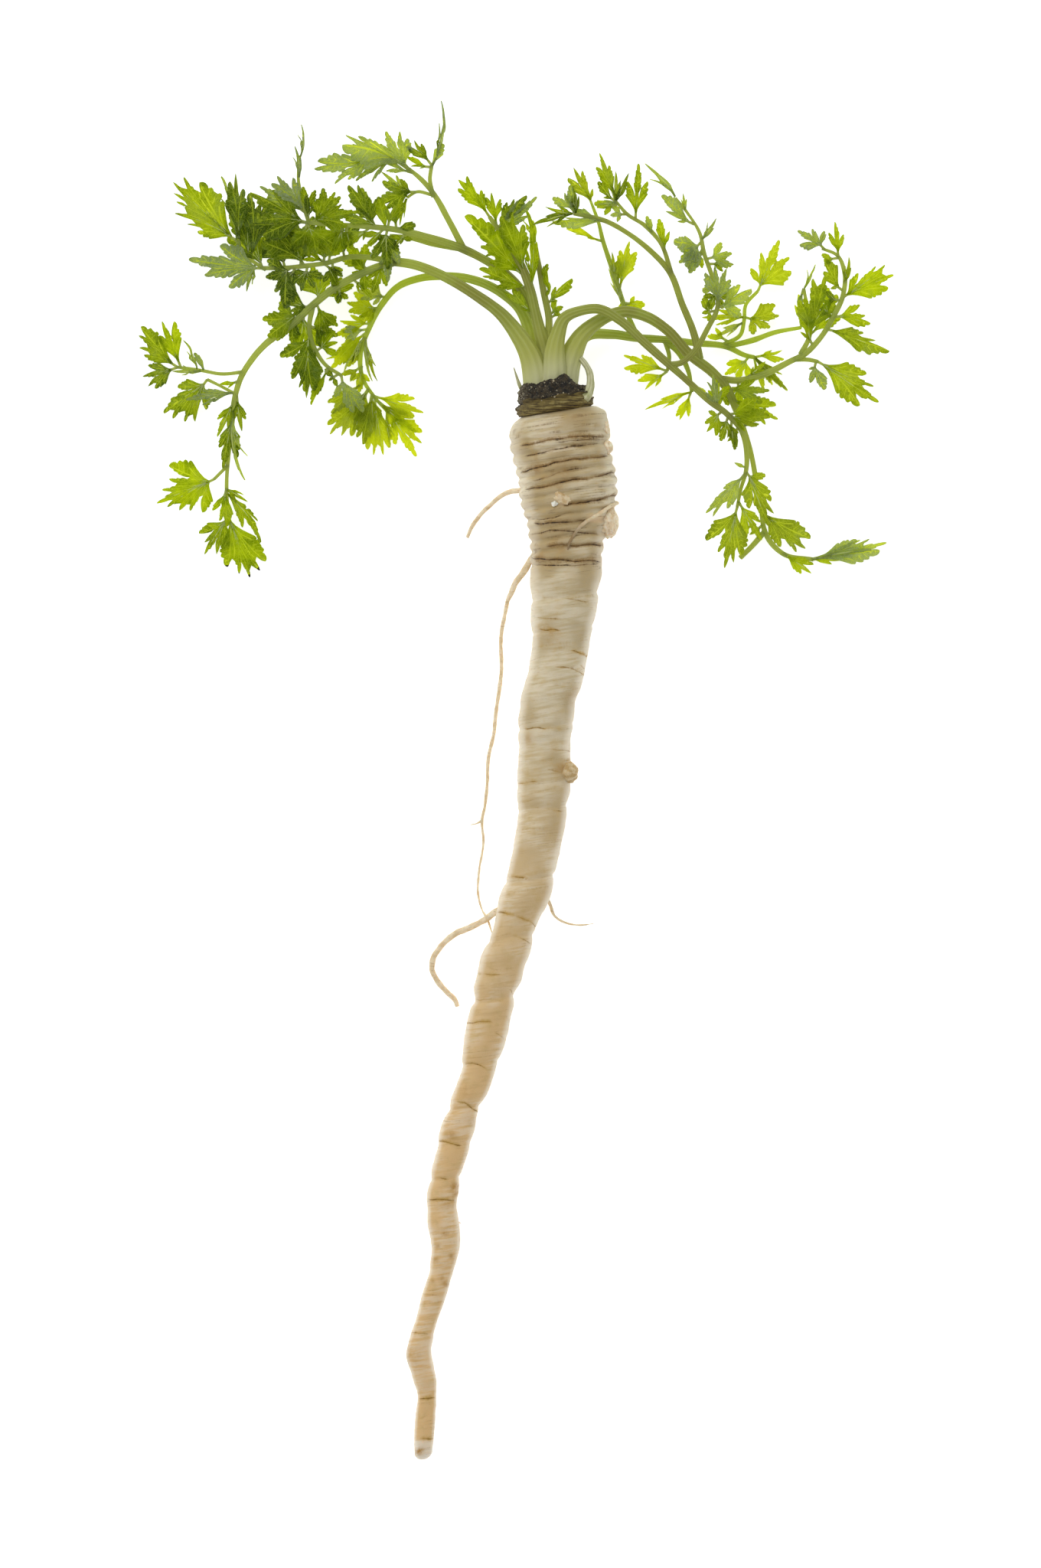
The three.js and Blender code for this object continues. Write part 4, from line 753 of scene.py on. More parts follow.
def growthSkin():
    points, faces, kinds = [], [], []
    sides, rings, pole = growth["sides"], growth["rings"], growth["pole"]
    angle = 2 * np.pi * np.arange(sides) / sides
    turn = np.linspace(pole, math.pi - pole, rings)[:, None]
    ball = stacked(np.sin(turn) * np.cos(angle), np.cos(turn), np.sin(turn) * np.sin(angle))
    for number, (x, y, z, wide, long, tall, slant, rough, kind) in enumerate(growths):
        size = np.array([wide, long, tall])
        z = skinHeight(x, y) - growth["sunk"] * tall if z is None else z
        spots = ball * size + number * 9
        lumps = sum(played(growth, name, spots, i) for i, name in enumerate(("coarse", "middling", "fine")))
        skin = ball * size * (1 + rough * lumps / size.min())[..., None]
        skin[..., 0] += slant * skin[..., 1]
        skin += (x, y, z)
        first = sum(len(part) for part in points)
        points.append(closed(skin))
        faces += [tuple(first + i for i in face[::-1]) for face in ringFaces(rings, sides)]
        kinds.append(np.full(len(points[-1]), growth["kinds"][kind]))
    return np.concatenate(points), faces, {"core": np.concatenate(kinds)}


def scarFinish():
    made = Finish("scar_skin")
    tints = growth["tints"]
    core = made.stored("core")
    ridges = made.noise(made.place((1, 0.25, 0.6)), 0.5, 2.0)
    blotches = made.noise(made.place(), 1.3, 3.0, 0.65)
    base = made.mix(blotches.ramp(0.35, 0.6), tints["light"], tints["dull"])
    ridged = made.mix(0.4 * ridges.ramp(0.56, 0.72), base, tints["ridge"])
    rimmed = made.mix(0.55 * blotches.ramp(0.62, 0.7), ridged, tints["rim"])
    tan = made.mix(blotches.ramp(0.4, 0.62), tints["tan"], tints["darkTan"])
    tanned = made.mix(core.ramp(0.0, -0.9), rimmed, tan)
    colour = made.mix(core.ramp(0.3, 1.0) * blotches.ramp(0.68, 0.55), tanned, tints["core"])
    return made.done(made.paint({
        "Base Color": colour, "Roughness": 0.5 + 0.2 * blotches,
        "Normal": made.bump(ridges + blotches, 0.2, 0.7), **glowInside(0.35, (1.0, 0.7, 0.45), 1.2),
    }))


growthPoints, growthFaces, growthNumbers = growthSkin()
growthPiece = meshPiece("root_growths", growthPoints, growthFaces, scarFinish(), growthNumbers)
dress(growthPiece, "taproot")
print("growths made:", len(growths))


# The crown's collar.
collar = {
    "centre": (-1.8, 13.4), "start": 65.9, "length": 8.9, "sides": 150, "rings": 56,
    "crustFrom": 0.44, "crustEdge": 0.12, "fibre": 0.24, "ragged": 0.8, "corners": (0.82, 0.97), "seed": 21,
    # Play: a height and the size of its lumps.
    "crustLumps": (0.8, 1.7), "crustGrit": (0.4, 0.65), "edgePlay": (0.1, 2.4), "cornerPlay": (0.6, 1.6),
    "coarseRagged": (0.6, 1.5), "fineRagged": (0.4, 0.8),
    "fineFibre": (1, (6, 0.55, 6)), "fibreBands": (1, (9, 1.2, 9)),
    "tints": {
        "dark": "3b2c14", "light": "8d7b42", "streaks": "b4a771", "moss": "4b3c1e",
        "soil": "1d1a15", "dullSoil": "4d4330", "drySoil": "82765a", "grit": "b5ac98",
    },
}
collarProfile = [  # share of the length and radius
    [0, 10.2], [0.1, 10.9], [0.3, 10.9], [0.4, 10.2], [0.52, 10.7], [0.72, 10.4], [0.86, 9.9], [1, 8.8],
]
collarLid = [(0.55, 0.9), (0.75, 0.4), (0.9, 0.1)]  # share of the last radius, distance below the upper end
collarSkyline = (  # X and rise of the upper edge
    [-12, -7.3, -4.6, -1.8, 0.9, 4.2, 7], [1.2, -0.6, 0.2, 0.1, 1.4, -1.8, -2.8],
)
crumb = {
    "Density": 1600000.0, "Smallest": 0.16, "Largest": 0.62, "Seed": 4,
    "tints": {"dark": ("20180f", "5a482e"), "light": ("8c7d5c", "cfc6aa")},
}


def collarSkin():
    rows = np.array(collarProfile)
    lid = np.array(collarLid)
    length = collar["length"]
    share = np.linspace(0, 1, collar["rings"])[::-1]
    y = np.concatenate([length - lid[:, 1], share * length])
    radius = np.concatenate([lid[:, 0] * rows[-1, 1], np.interp(share, rows[:, 0], rows[:, 1])])[:, None]
    angle = 2 * np.pi * (np.arange(collar["sides"]) + 0.5) / collar["sides"]
    level = (y / length)[:, None]
    across = radius * np.cos(angle)
    x, z = collar["centre"]
    along = collar["start"] + y[:, None] + root["ringTilt"] * across
    points = np.stack([x + across, along, z + radius * np.sin(angle)], -1)
    corner = fade(np.abs(np.cos(angle)), *collar["corners"]) * (0.5 + played(collar, "cornerPlay", points, 7))
    edge = collar["crustFrom"]
    depth = level + played(collar, "edgePlay", points, 0) + 0.5 * corner
    crust = fade(depth, edge, edge + collar["crustEdge"])
    lumps = played(collar, "crustLumps", points, 1) + played(collar, "crustGrit", points, 2)
    hoops = played(collar, "fineFibre", points, 3) + played(collar, "fibreBands", points, 4)
    out = stacked(np.cos(angle), 0 * level, np.sin(angle))
    points = points + out * (crust * lumps + (1 - crust) * (collar["fibre"] * hoops))[..., None]
    ragged = played(collar, "coarseRagged", points, 5) + played(collar, "fineRagged", points, 6)
    skyline = np.interp(points[..., 0], *collarSkyline)
    points[..., 1] += fade(level, edge, 1) * (skyline + collar["ragged"] * ragged)
    return closed(points), ringFaces(len(y), collar["sides"]), {"crust": np.append(crust.ravel(), [1, 0])}


def collarFinish():
    made = Finish("crown_bark")
    tints = collar["tints"]
    where = made.place()
    fibres = made.noise(made.place((0.12, 1.6, 0.12)), 0.7, 3.0, 0.65)
    lumps = made.noise(where, 1.4, 3.0, 0.65)
    grit = made.noise(where, 0.4, 3.0, 0.7)
    bands = made.mix(fibres.ramp(0.34, 0.6), tints["dark"], tints["light"])
    streaked = made.mix(0.75 * fibres.ramp(0.58, 0.7), bands, tints["streaks"])
    mossy = made.mix(0.5 * lumps.ramp(0.5, 0.62), streaked, tints["moss"])
    soil = made.mix(lumps.ramp(0.4, 0.66), tints["soil"], tints["dullSoil"])
    ends = (made.split(where)[0] - collar["centre"][0]).size().ramp(6.5, 10.5)
    dry = made.mix(0.75 * ends * lumps.ramp(0.6, 0.4), soil, tints["drySoil"])
    gritty = made.mix(0.8 * (grit + 0.1 * ends).ramp(0.62, 0.7), dry, tints["grit"])
    colour = made.mix((made.stored("crust") + 0.5 * lumps - 0.25).ramp(0.3, 0.7), mossy, gritty)
    normal = made.bump(grit + 0.8 * lumps + 0.6 * fibres, 0.5, 0.9)
    return made.done(made.paint({"Base Color": colour, "Roughness": 0.85, "Normal": normal}))


def crumbFinish():
    made = Finish("crust_crumbs")
    grit = made.noise(made.place(), 0.3, 2.0).ramp(0.35, 0.65)
    dark, light = (made.mix(grit, *crumb["tints"][name]) for name in ("dark", "light"))
    colour = made.mix(made.stored("kind").ramp(0.8, 0.86), dark, light)
    return made.done(made.paint({"Base Color": colour, "Roughness": 0.9}))


def crumbTree():  # small lumps strewn over the crust
    made = ShapeTree("strewnCrumbs", {
        "Density": "Float", "Smallest": "Float", "Largest": "Float", "Seed": "Int",
    })

    def chance(kind, low, high, seed, output):
        values = {"Min": low, "Max": high, "Seed": seed}
        return made.node("FunctionNodeRandomValue", {"data_type": kind}, values, output)
    crust = made.node("GeometryNodeInputNamedAttribute", {"data_type": "FLOAT"}, {"Name": "crust"})
    spots = made.node("GeometryNodeDistributePointsOnFaces", {"distribute_method": "RANDOM"}, {
        "Mesh": made.given("Geometry"), "Density": crust * made.given("Density"), "Seed": made.given("Seed")})
    ball = made.node("GeometryNodeMeshIcoSphere", {}, {"Radius": 0.5, "Subdivisions": 2})
    values = {"W": 3.0, "Scale": 2.2, "Detail": 1.0}
    rough = made.node("ShaderNodeTexNoise", {"noise_dimensions": "4D"}, values)
    tug = made.scaled(made.node("GeometryNodeInputNormal", {}, {}), rough - 0.5)
    lump = made.node("GeometryNodeSetPosition", {}, {"Geometry": ball, "Offset": tug})
    turn = chance("FLOAT_VECTOR", (0.0, 0.0, 0.0), (6.28, 6.28, 6.28), 1, 0)
    small = made.given("Smallest")
    skewed = made.maths("POWER", chance("FLOAT", 0.0, 1.0, 2, 1), 2.4)
    size = (small + skewed * (made.given("Largest") - small)) * millimetre
    strewn = made.node("GeometryNodeInstanceOnPoints", {}, {
        "Points": spots, "Instance": lump, "Rotation": turn, "Scale": size})
    marked = made.node("GeometryNodeStoreNamedAttribute", {"data_type": "FLOAT", "domain": "INSTANCE"}, {
        "Geometry": strewn, "Name": "kind", "Value": chance("FLOAT", 0.0, 1.0, 3, 1)})
    return made.done(marked)


collarPoints, collarFaces, collarNumbers = collarSkin()
collarPiece = meshPiece("collar_crust", collarPoints, collarFaces, collarFinish(), collarNumbers)
crumb["Material"] = crumbFinish()
crumbPiece = applied(placed("crumb_ground", collarPiece.data.copy()), crumbTree(), crumb, "collar_crumbs")
for piece in (collarPiece, crumbPiece):
    dress(piece, "crown_collar")
print("collar made:", len(collarFaces), "faces,", len(crumbPiece.data.polygons), "crumb faces")


# Leaf stalks.
stalk = {
    "Sides": 36, "Ribs": 9.0, "Rib Depth": 0.05, "Knob Size": 0.006, "Knob Height": 0.00022, "spacing": 1.3,
    # The broad foot of each stalk thicker than mainRadius: how far up it reaches, and its swell.
    "mainRadius": 2, "reach": 11.0, "swell": 0.25,
    "crown": (-1.0, 72.0, 14.0),  # where the stalks start
    "tints": {"foot": "eceabc", "above": "cbcb70", "ribs": "dfe6b4", "furrowShade": "66702c"},
}
midrib = {
    "Sides": 6, "Ribs": 0.0, "Rib Depth": 0.0, "Knob Size": 0.004, "Knob Height": 0.0, "spacing": 1.3,
    "tint": "dbe4a2", "glow": (0.92, 0.96, 0.5, 1),
}


def widened(route):
    points = smoothRoute(route, stalk["spacing"])
    far = np.linalg.norm(points[:, :3] - points[0, :3], axis=1)
    if route[0][3] > stalk["mainRadius"]:
        points[:, 3] *= 1 + stalk["swell"] * bell(far, stalk["reach"])
    return points


def stalkFinish(name, young, grown, thin, glow):
    made = Finish(name)
    tints = stalk["tints"]
    where = made.place()
    away = made.distance(where, stalk["crown"])
    rib = made.stored("rib")
    blotches = made.noise(where, 7.0, 2.0)
    fine = made.noise(where, 0.8, 2.0, 0.6)
    base = made.mix(away.ramp(5, 15), tints["foot"], tints["above"])
    green = made.mix(away.ramp(9, 30), base, young)
    olive = made.mix(away.ramp(16, 44) * blotches.ramp(0.3, 0.55), green, grown)
    outer = made.mix(away.ramp(34, 68), olive, thin)
    # Painted highlight and shade: paler along the rib crests, darker in the furrows between the ribs.
    ribbed = made.mix(0.2 * rib.ramp(0.1, 1.0) * away.ramp(4, 20), outer, tints["ribs"])
    furrow = made.mix(0.28 * rib.ramp(0.0, -1.0) * away.ramp(6, 30), ribbed, tints["furrowShade"])
    body = made.paint({
        "Base Color": furrow, "Roughness": 0.42 + 0.15 * fine,
        "Normal": made.bump(fine + 0.4 * rib, 0.15, 0.5), "Specular IOR Level": 0.25,
    })
    return made.done(made.layered(0.32 + 0.34 * away.ramp(30, 60), body, made.through(tint(glow))))


def ribFinish():  # pale ribs that glow with the blades
    made = Finish("leaf_ribs")
    body = made.paint({"Base Color": tint(midrib["tint"]), "Roughness": 0.55, "Specular IOR Level": 0.15})
    return made.done(made.layered(0.65, body, made.through(midrib["glow"])))


# The leaves' blades.
blade = {
    "thickness": 0.28, "spacing": 1.15, "shake": 0.22, "clearOfEdge": 0.42, "lowest": 0.02, "ceiling": 32.1,
    "neck": 1.8, "slipNeck": 0.3, "crease": 50, "foot": (0.42, 0.06),
    "foldUp": 0.16, "foldRound": 0.04, "arch": 0.1, "wave": 0.06, "roll": 0.22, "curl": 1.5, "curlFrom": 0.6,
    "ruffle": 0.4, "ruffleSize": 3.6, "ruffleSeed": 77, "ruffleFrom": 6,
    "ribRadius": (0.2, 0.06), "shadyHeart": (-78, 114, 18),  # X, Y and reach of painted shade: the leaves around this spot are painted darker
    "tints": {
        "sunny": "a5b43c", "lightTone": "93a626", "darkTone": "2c4409", "veins": "d2da80",
        "back": "8fa368", "paleBack": "abb98c", "paintedGlints": "e9efd8",
    },
    # Colours of the light that shines through.
    "glows": {"sun": (0.78, 0.86, 0.05, 1), "shade": (0.33, 0.45, 0.005, 1), "veins": (0.95, 0.98, 0.26, 1)},
}
lobeShape = {
    "steps": 25, "bend": 0.09, "bendPlay": 0.03, "footWidth": 0.3, "slipWidth": (0.9, 0.5),
    # Half widths, as shares of the room between two lobes and of the length.
    "room": (0.8, 0.97), "roomShare": 0.66, "widestTurn": 1.6, "widest": 0.37,
    "outer": (0.17, 0.31), "outerTurns": (0.3, 1.5),
    # Cuts between lobes: the turns that call for a deep one, and how far out they end.
    "deepTurn": 0.5, "cutTurn": 0.28, "cutTurns": (0.25, 0.9), "deepCuts": (0.5, 0.3),
    "toothCuts": (0.82, 0.66), "cutPlay": 0.04, "deepest": 0.9,
}
lobeEdge = (  # share of the length and of the half width
    [0, 0.12, 0.25, 0.4, 0.52, 0.62, 0.75, 0.88, 0.95, 1],
    [0.1, 0.2, 0.42, 0.76, 0.95, 1, 0.88, 0.58, 0.33, 0],
)
tooth = {
    "length": 2.6, "most": 3, "leastWidth": 0.9, "from": 0.46, "afterCut": 0.1, "to": 0.83, "back": 0.02,
    "play": 0.03, "swell": (0.92, 1.12), "room": 0.12, "end": 0.03,
    # The edge before a tooth: how far along it is lowest, and how low near the foot, at first and later.
    "lowest": 0.35, "footEnds": (0.25, 0.3), "hollows": (0.96, 0.82, 0.86),
}
toothEdge = [(-0.05, 0.97), (0, 1), (0.022, 0.93), (0.028, 0.78)]  # shares of the length and of its reach
pointedEnd = [(0.35, 0.68), (0.68, 0.58), (0.9, 0.38), (0.98, 0.18)]  # the same, beyond the last tooth
smoothEnd = {"at": (0.25, 0.5, 0.72, 0.88, 0.97), "power": 2.6, "width": 0.85}  # of a side without teeth
# Narrow leaves: tips of their lobes as shares of the length and the half width.
broad = [(1, 0), (0.74, 0.7), (0.7, -0.68), (0.46, 1.05), (0.43, -1)]
hand = [(1, 0), (0.68, 1), (0.63, -1), (0.4, 0.55)]
slip = [(1, 0)]


def randomFrom(seed):  # the same steps as the solids' own random numbers
    state = seed

    def draw():
        nonlocal state
        state = (state * 1664525 + 1013904223) % 4294967296
        return state / 4294967296
    return draw


def nearestOnStalks(stalks, x, y):
    best = (math.inf, None)
    for route in stalks:
        spots = np.array(route, float)[:, :3]
        for start, end in zip(spots, spots[1:]):
            run = end[:2] - start[:2]
            share = np.clip(np.dot((x, y) - start[:2], run) / np.dot(run, run), 0, 1)
            point = start + share * (end - start)
            far = math.hypot(x - point[0], y - point[1])
            if far < best[0]:
                best = (far, point)
    return best[1]


def makeLobe(start, tip, bend, play, wave):
    start = np.array(start, float)
    tip = np.array(tip, float)
    run = tip - start
    length = np.linalg.norm(run)
    aside = np.array([-run[1], run[0]]) / length
    t = np.linspace(0, 1, lobeShape["steps"])[:, None]
    middle = (start + tip) / 2 + bend * length * aside
    spine = (1 - t) ** 2 * start + 2 * t * (1 - t) * middle + t * t * tip
    slope = 2 * (1 - t) * (middle - start) + 2 * t * (tip - middle)
    ahead = slope / np.linalg.norm(slope, axis=1, keepdims=True)
    return {
        "spine": spine, "ahead": ahead, "aside": np.column_stack([-ahead[:, 1], ahead[:, 0]]),
        "length": length, "reach": np.linalg.norm(tip), "marks": [[], []], "wave": wave,
        "roll": blade["roll"] * play.uniform(-1, 1), "curl": blade["curl"] * play.uniform(-1, 1),
    }


def lobesFor(neck, tips, waves, play):  # the longest lobe is straight, and the others curve away from it
    main = int(np.argmax([np.linalg.norm(np.array(tip) - neck) for tip in tips]))
    shake = lobeShape["bendPlay"]
    bends = [lobeShape["bend"] * np.sign(place - main) + play.uniform(-shake, shake)
             for place in range(len(tips))]
    return [makeLobe(neck, tip, -bend, play, wave) for tip, bend, wave in zip(tips, bends, waves)]


def edgeAt(share):
    return float(np.interp(share, *lobeEdge))


def toothPlaces(length, wide, cut, play):  # where the teeth of one side end, as shares of its length
    free = length * (1 - max(cut, 0.35)) / tooth["length"]
    count = int(np.clip(round(free) if wide > tooth["leastWidth"] else 0, 0, tooth["most"]))
    start = max(cut + tooth["afterCut"], tooth["from"])
    marks = np.linspace(start, tooth["to"], count + 1)[1:] - tooth["back"] if count else np.array([])
    return marks + play.uniform(-tooth["play"], tooth["play"], count)


def lobeSide(length, wide, cut, play):  # a side's outline (share of the length, distance across) and teeth
    marks = toothPlaces(length, wide, cut, play)
    edge = []
    if cut == 0:
        edge = [(share, max(lobeShape["footWidth"], wide * edgeAt(share))) for share in (0, 0.12, 0.25)]
    first, footEnd = tooth["footEnds"]
    nearFoot, hollow, later = tooth["hollows"]
    before = max(cut, first)
    for at in marks:
        reach = wide * edgeAt(at) * play.uniform(*tooth["swell"])
        if at - before > tooth["room"]:
            low = before + tooth["lowest"] * (at - before)
            edge.append((low, wide * edgeAt(low) * (nearFoot if before <= footEnd else hollow)))
        edge += [(at + step, share * reach) for step, share in toothEdge]
        before = at + tooth["end"]
        hollow = later
    left = 1 - before
    if len(marks):
        last = wide * edgeAt(before)
        edge.append((before + 0.004, 0.62 * last))
        edge += [(before + step * left, share * last) for step, share in pointedEnd]
    else:
        edge += [(before + share * left, wide * (1 - share ** smoothEnd["power"]) * smoothEnd["width"])
                 for share in smoothEnd["at"]]
    return [pair for pair in edge if pair[0] > cut + 0.05 or cut == 0], list(marks)


def along(lobe, share, across):
    last = len(lobe["spine"]) - 1
    low = min(int(share * last), last - 1)
    part = share * last - low
    centre = lobe["spine"][low] * (1 - part) + lobe["spine"][low + 1] * part
    side = lobe["aside"][low] * (1 - part) + lobe["aside"][low + 1] * part
    return centre + across * side


def lobeCuts(neck, lobes, bearings, turns, deep, play):  # how far out each cut ends, and where
    cuts = []
    for place, turn in enumerate(turns):
        size = min(lobes[place]["length"], lobes[place + 1]["length"])
        shares = lobeShape["deepCuts"] if place in deep else lobeShape["toothCuts"]
        share = float(np.interp(turn, lobeShape["cutTurns"], shares))
        share += play.uniform(-lobeShape["cutPlay"], lobeShape["cutPlay"])
        bearing = bearings[place] + turn / 2
        cuts.append((share * size, neck + share * size * np.array([math.cos(bearing), math.sin(bearing)])))
    return cuts


def leafOutline(neck, lobes, play, widest):  # lobes stand in order round the neck, right to left
    runs = [lobe["spine"][-1] - neck for lobe in lobes]
    bearings = [math.atan2(y, x) for x, y in runs]
    turns = [(later - earlier) % (2 * math.pi) for earlier, later in zip(bearings, bearings[1:])]
    wideFirst = list(np.argsort(turns)[::-1])
    widerHalf = wideFirst[:len(turns) // 2 + 1]
    deep = {gap for gap in wideFirst
            if turns[gap] > lobeShape["deepTurn"] or turns[gap] > lobeShape["cutTurn"] and gap in widerHalf}
    cuts = lobeCuts(neck, lobes, bearings, turns, deep, play)
    ring = []
    for place, lobe in enumerate(lobes):
        length = lobe["length"]
        widths = []
        for side, gap in enumerate((place - 1, place)):
            if 0 <= gap < len(turns):
                share = lobeShape["room"][0 if gap in deep else 1]
                turn = min(turns[gap], lobeShape["widestTurn"])
                room = share * math.tan(turn / 2) * lobeShape["roomShare"] * length
                wide = min(room, lobeShape["widest"] * length)
                cut = min(cuts[gap][0] / length, lobeShape["deepest"])
            else:
                wide = widest or np.interp(sum(turns), lobeShape["outerTurns"], lobeShape["outer"]) * length
                cut = 0
            widths.append(wide)
            edge, lobe["marks"][side] = lobeSide(length, wide, cut, play)
            points = [along(lobe, share, across * (-1, 1)[side]) for share, across in edge]
            ring += points[::-1] if side else points + [along(lobe, 1, 0)]
        if place < len(turns):
            ring.append(cuts[place][1])
        lobe["halfWidth"] = max(sum(widths) / 2, 0.5)
    return ring


def onLobe(lobe, points):  # share along the midrib, distance across it and distance from it, for many points
    gaps = points[:, None] - lobe["spine"][None]
    nearest = np.argmin((gaps ** 2).sum(-1), axis=1)
    gap = gaps[np.arange(len(points)), nearest]
    last = len(lobe["spine"]) - 1
    beyond = (gap * lobe["ahead"][nearest]).sum(-1) / (lobe["length"] / last)
    share = (nearest + np.clip(beyond, -0.5, 0.5)) / last
    return share, (gap * lobe["aside"][nearest]).sum(-1), np.linalg.norm(gap, axis=1)


def surfaceHeight(lobes, points, rise, seed):  # of many points on a leaf, over its foot
    total = np.zeros(len(points))
    weights = np.full(len(points), 1e-9)
    fromFoot = np.linalg.norm(points, axis=1)
    for lobe in lobes:
        _, across, gap = onLobe(lobe, points)
        weight = bell(gap, 0.75 * lobe["halfWidth"]) + 1e-7 / (1 + gap)
        out = np.minimum(fromFoot / lobe["reach"], 1.1)
        arch = 4 * blade["arch"] * lobe["reach"] * out * (1 - out)
        bow = blade["foldUp"] * np.sqrt(across ** 2 + blade["foldRound"]) + lobe["roll"] * across * out
        tip = lobe["curl"] * np.maximum(out - blade["curlFrom"], 0) ** 2 * 4
        total += weight * (rise * out + lobe["wave"] * out ** 2 + arch + bow + tip)
        weights += weight
    spots = np.column_stack([points, np.full(len(points), 0.5 + seed)])
    ruffle = blade["ruffle"] * cloud(spots, blade["ruffleSize"], blade["ruffleSeed"])
    return total / weights + ruffle * np.minimum(fromFoot / blade["ruffleFrom"], 1)


def inside(ring, points):
    wound = np.zeros(len(points))
    for start, end in zip(ring, ring[1:] + ring[:1]):
        crosses = (start[1] > points[:, 1]) != (end[1] > points[:, 1])
        slope = (end[0] - start[0]) / (end[1] - start[1] + 1e-12)
        wound += crosses & (points[:, 0] < start[0] + slope * (points[:, 1] - start[1]))
    return wound % 2 > 0


def leafSheet(ring, play):  # the flat leaf cut into triangles
    corners = np.array(ring)
    spacing = blade["spacing"]
    spans = [np.arange(low, high, spacing) for low, high in zip(corners.min(0), corners.max(0))]
    grid = np.stack(np.meshgrid(*spans), -1).reshape(-1, 2)
    grid = grid + play.uniform(-blade["shake"], blade["shake"], grid.shape) * spacing
    if len(grid):
        clear = np.sqrt(((grid[:, None] - corners[None]) ** 2).sum(-1)).min(1)
        grid = grid[(clear > blade["clearOfEdge"] * spacing) & inside(ring, grid)]
    flat = [tuple(map(float, point)) for point in np.concatenate([corners, grid])]
    cut = delaunay_2d_cdt(flat, [], [list(range(len(corners)))], 0, 1e-4, True)
    points = np.array([tuple(point) for point in cut[0]])
    faces = np.array([face for face in cut[2]])
    used, renumbered = np.unique(faces[inside(ring, points[faces].mean(1))], return_inverse=True)
    return points[used], renumbered.reshape(-1, 3)


def veinPlaces(lobes, points, faces):  # of every face's corners: place among the teeth, share across
    onLobes = [onLobe(lobe, points) for lobe in lobes]
    middles = points[faces].mean(1)
    owner = np.argmin([onLobe(lobe, middles)[2] / lobe["halfWidth"] for lobe in lobes], axis=0)
    found = []
    for face, which in zip(faces, owner):
        lobe = lobes[which]
        for corner in face:
            share, across = onLobes[which][0][corner], onLobes[which][1][corner]
            stops = [0, *lobe["marks"][1 if across > 0 else 0], 1.0]
            wide = lobe["halfWidth"] * max(edgeAt(share), 0.12)
            found.append((float(np.interp(share, stops, range(len(stops)))), across / wide))
    return found


def addLeaf(store, ring, lobes, rise, toWorld, pale, play):
    seed = store["count"]
    store["count"] += 1
    points, faces = leafSheet(ring, play)
    sheet = toWorld(points, surfaceHeight(lobes, points, rise, seed))
    veins = veinPlaces(lobes, points, faces)
    a, b, c = (sheet[faces[:, i]] for i in range(3))
    normals = np.zeros(sheet.shape)
    for i in range(3):
        np.add.at(normals, faces[:, i], np.cross(b - a, c - a))
    normals /= np.linalg.norm(normals, axis=1, keepdims=True) + 1e-12
    half = 0.5 * blade["thickness"]
    both = np.concatenate([sheet - half * normals, sheet + half * normals])
    both[:, 2] = np.clip(both[:, 2], blade["lowest"], blade["ceiling"])
    under = sum(len(part) for part in store["points"])
    count = len(sheet)
    over = under + count
    store["points"].append(both)
    x, y, reach = blade["shadyHeart"]
    # Random tone, less painted shade near the shady heart.
    toneAndShade = play.uniform(-1, 1) - math.exp(-math.dist(sheet.mean(0)[:2], (x, y)) ** 2 / reach ** 2)
    store["toneAndShade"].append(np.full(2 * count, toneAndShade))
    store["pale"].append(np.repeat([0.0, 1.0] if pale else [1.0, 0.0], count))
    directed = {}
    for k, face in enumerate(faces.tolist()):
        uv = veins[3 * k:3 * k + 3]
        for i in range(3):
            directed[(face[i], face[(i + 1) % 3])] = uv[i], uv[(i + 1) % 3]
        store["faces"] += [tuple(over + i for i in face), tuple(under + i for i in face[::-1])]
        store["veins"] += uv + uv[::-1]
    for (start, end), (uvStart, uvEnd) in directed.items():
        if (end, start) not in directed:
            store["faces"].append((under + start, under + end, over + end, over + start))
            store["veins"] += [uvStart, uvEnd, uvEnd, uvStart]
    for lobe in lobes:
        spine = lobe["spine"][:-2:2]
        line = toWorld(spine, surfaceHeight(lobes, spine, rise, seed))
        radius = np.linspace(*blade["ribRadius"], len(line))
        line[:, 2] = np.maximum(line[:, 2], radius)
        store["ribs"].append(np.column_stack([line, radius]))


def addFlatLeaf(store, stalks, leaf, random, play):
    x, y, rise, pale, *tips = leaf
    base = nearestOnStalks(stalks, x, y)
    reach = np.array(tips, float) - base[:2]
    middle = (reach / np.linalg.norm(reach, axis=1)[:, None]).sum(0)
    heading = math.atan2(middle[1], middle[0])
    angles = (np.arctan2(reach[:, 1], reach[:, 0]) - heading + 3 * math.pi) % (2 * math.pi) - math.pi
    reach = reach[np.argsort(angles, kind="stable")]
    waves = [blade["wave"] * np.linalg.norm(tip) * (2 * random() - 1) for tip in reach]
    neck = blade["neck"] * np.array([math.cos(heading), math.sin(heading)])

    def toWorld(points, heights):
        return np.column_stack([base[:2] + points, base[2] + heights])
    lobes = lobesFor(neck, reach, waves, play)
    addLeaf(store, leafOutline(neck, lobes, play, None), lobes, rise, toWorld, pale, play)
    radius, taper = blade["foot"]
    foot = [(*(base[:2] + share * neck), base[2], radius - taper * share) for share in (0, 0.5, 1.05)]
    store["feet"].append(np.array(foot))


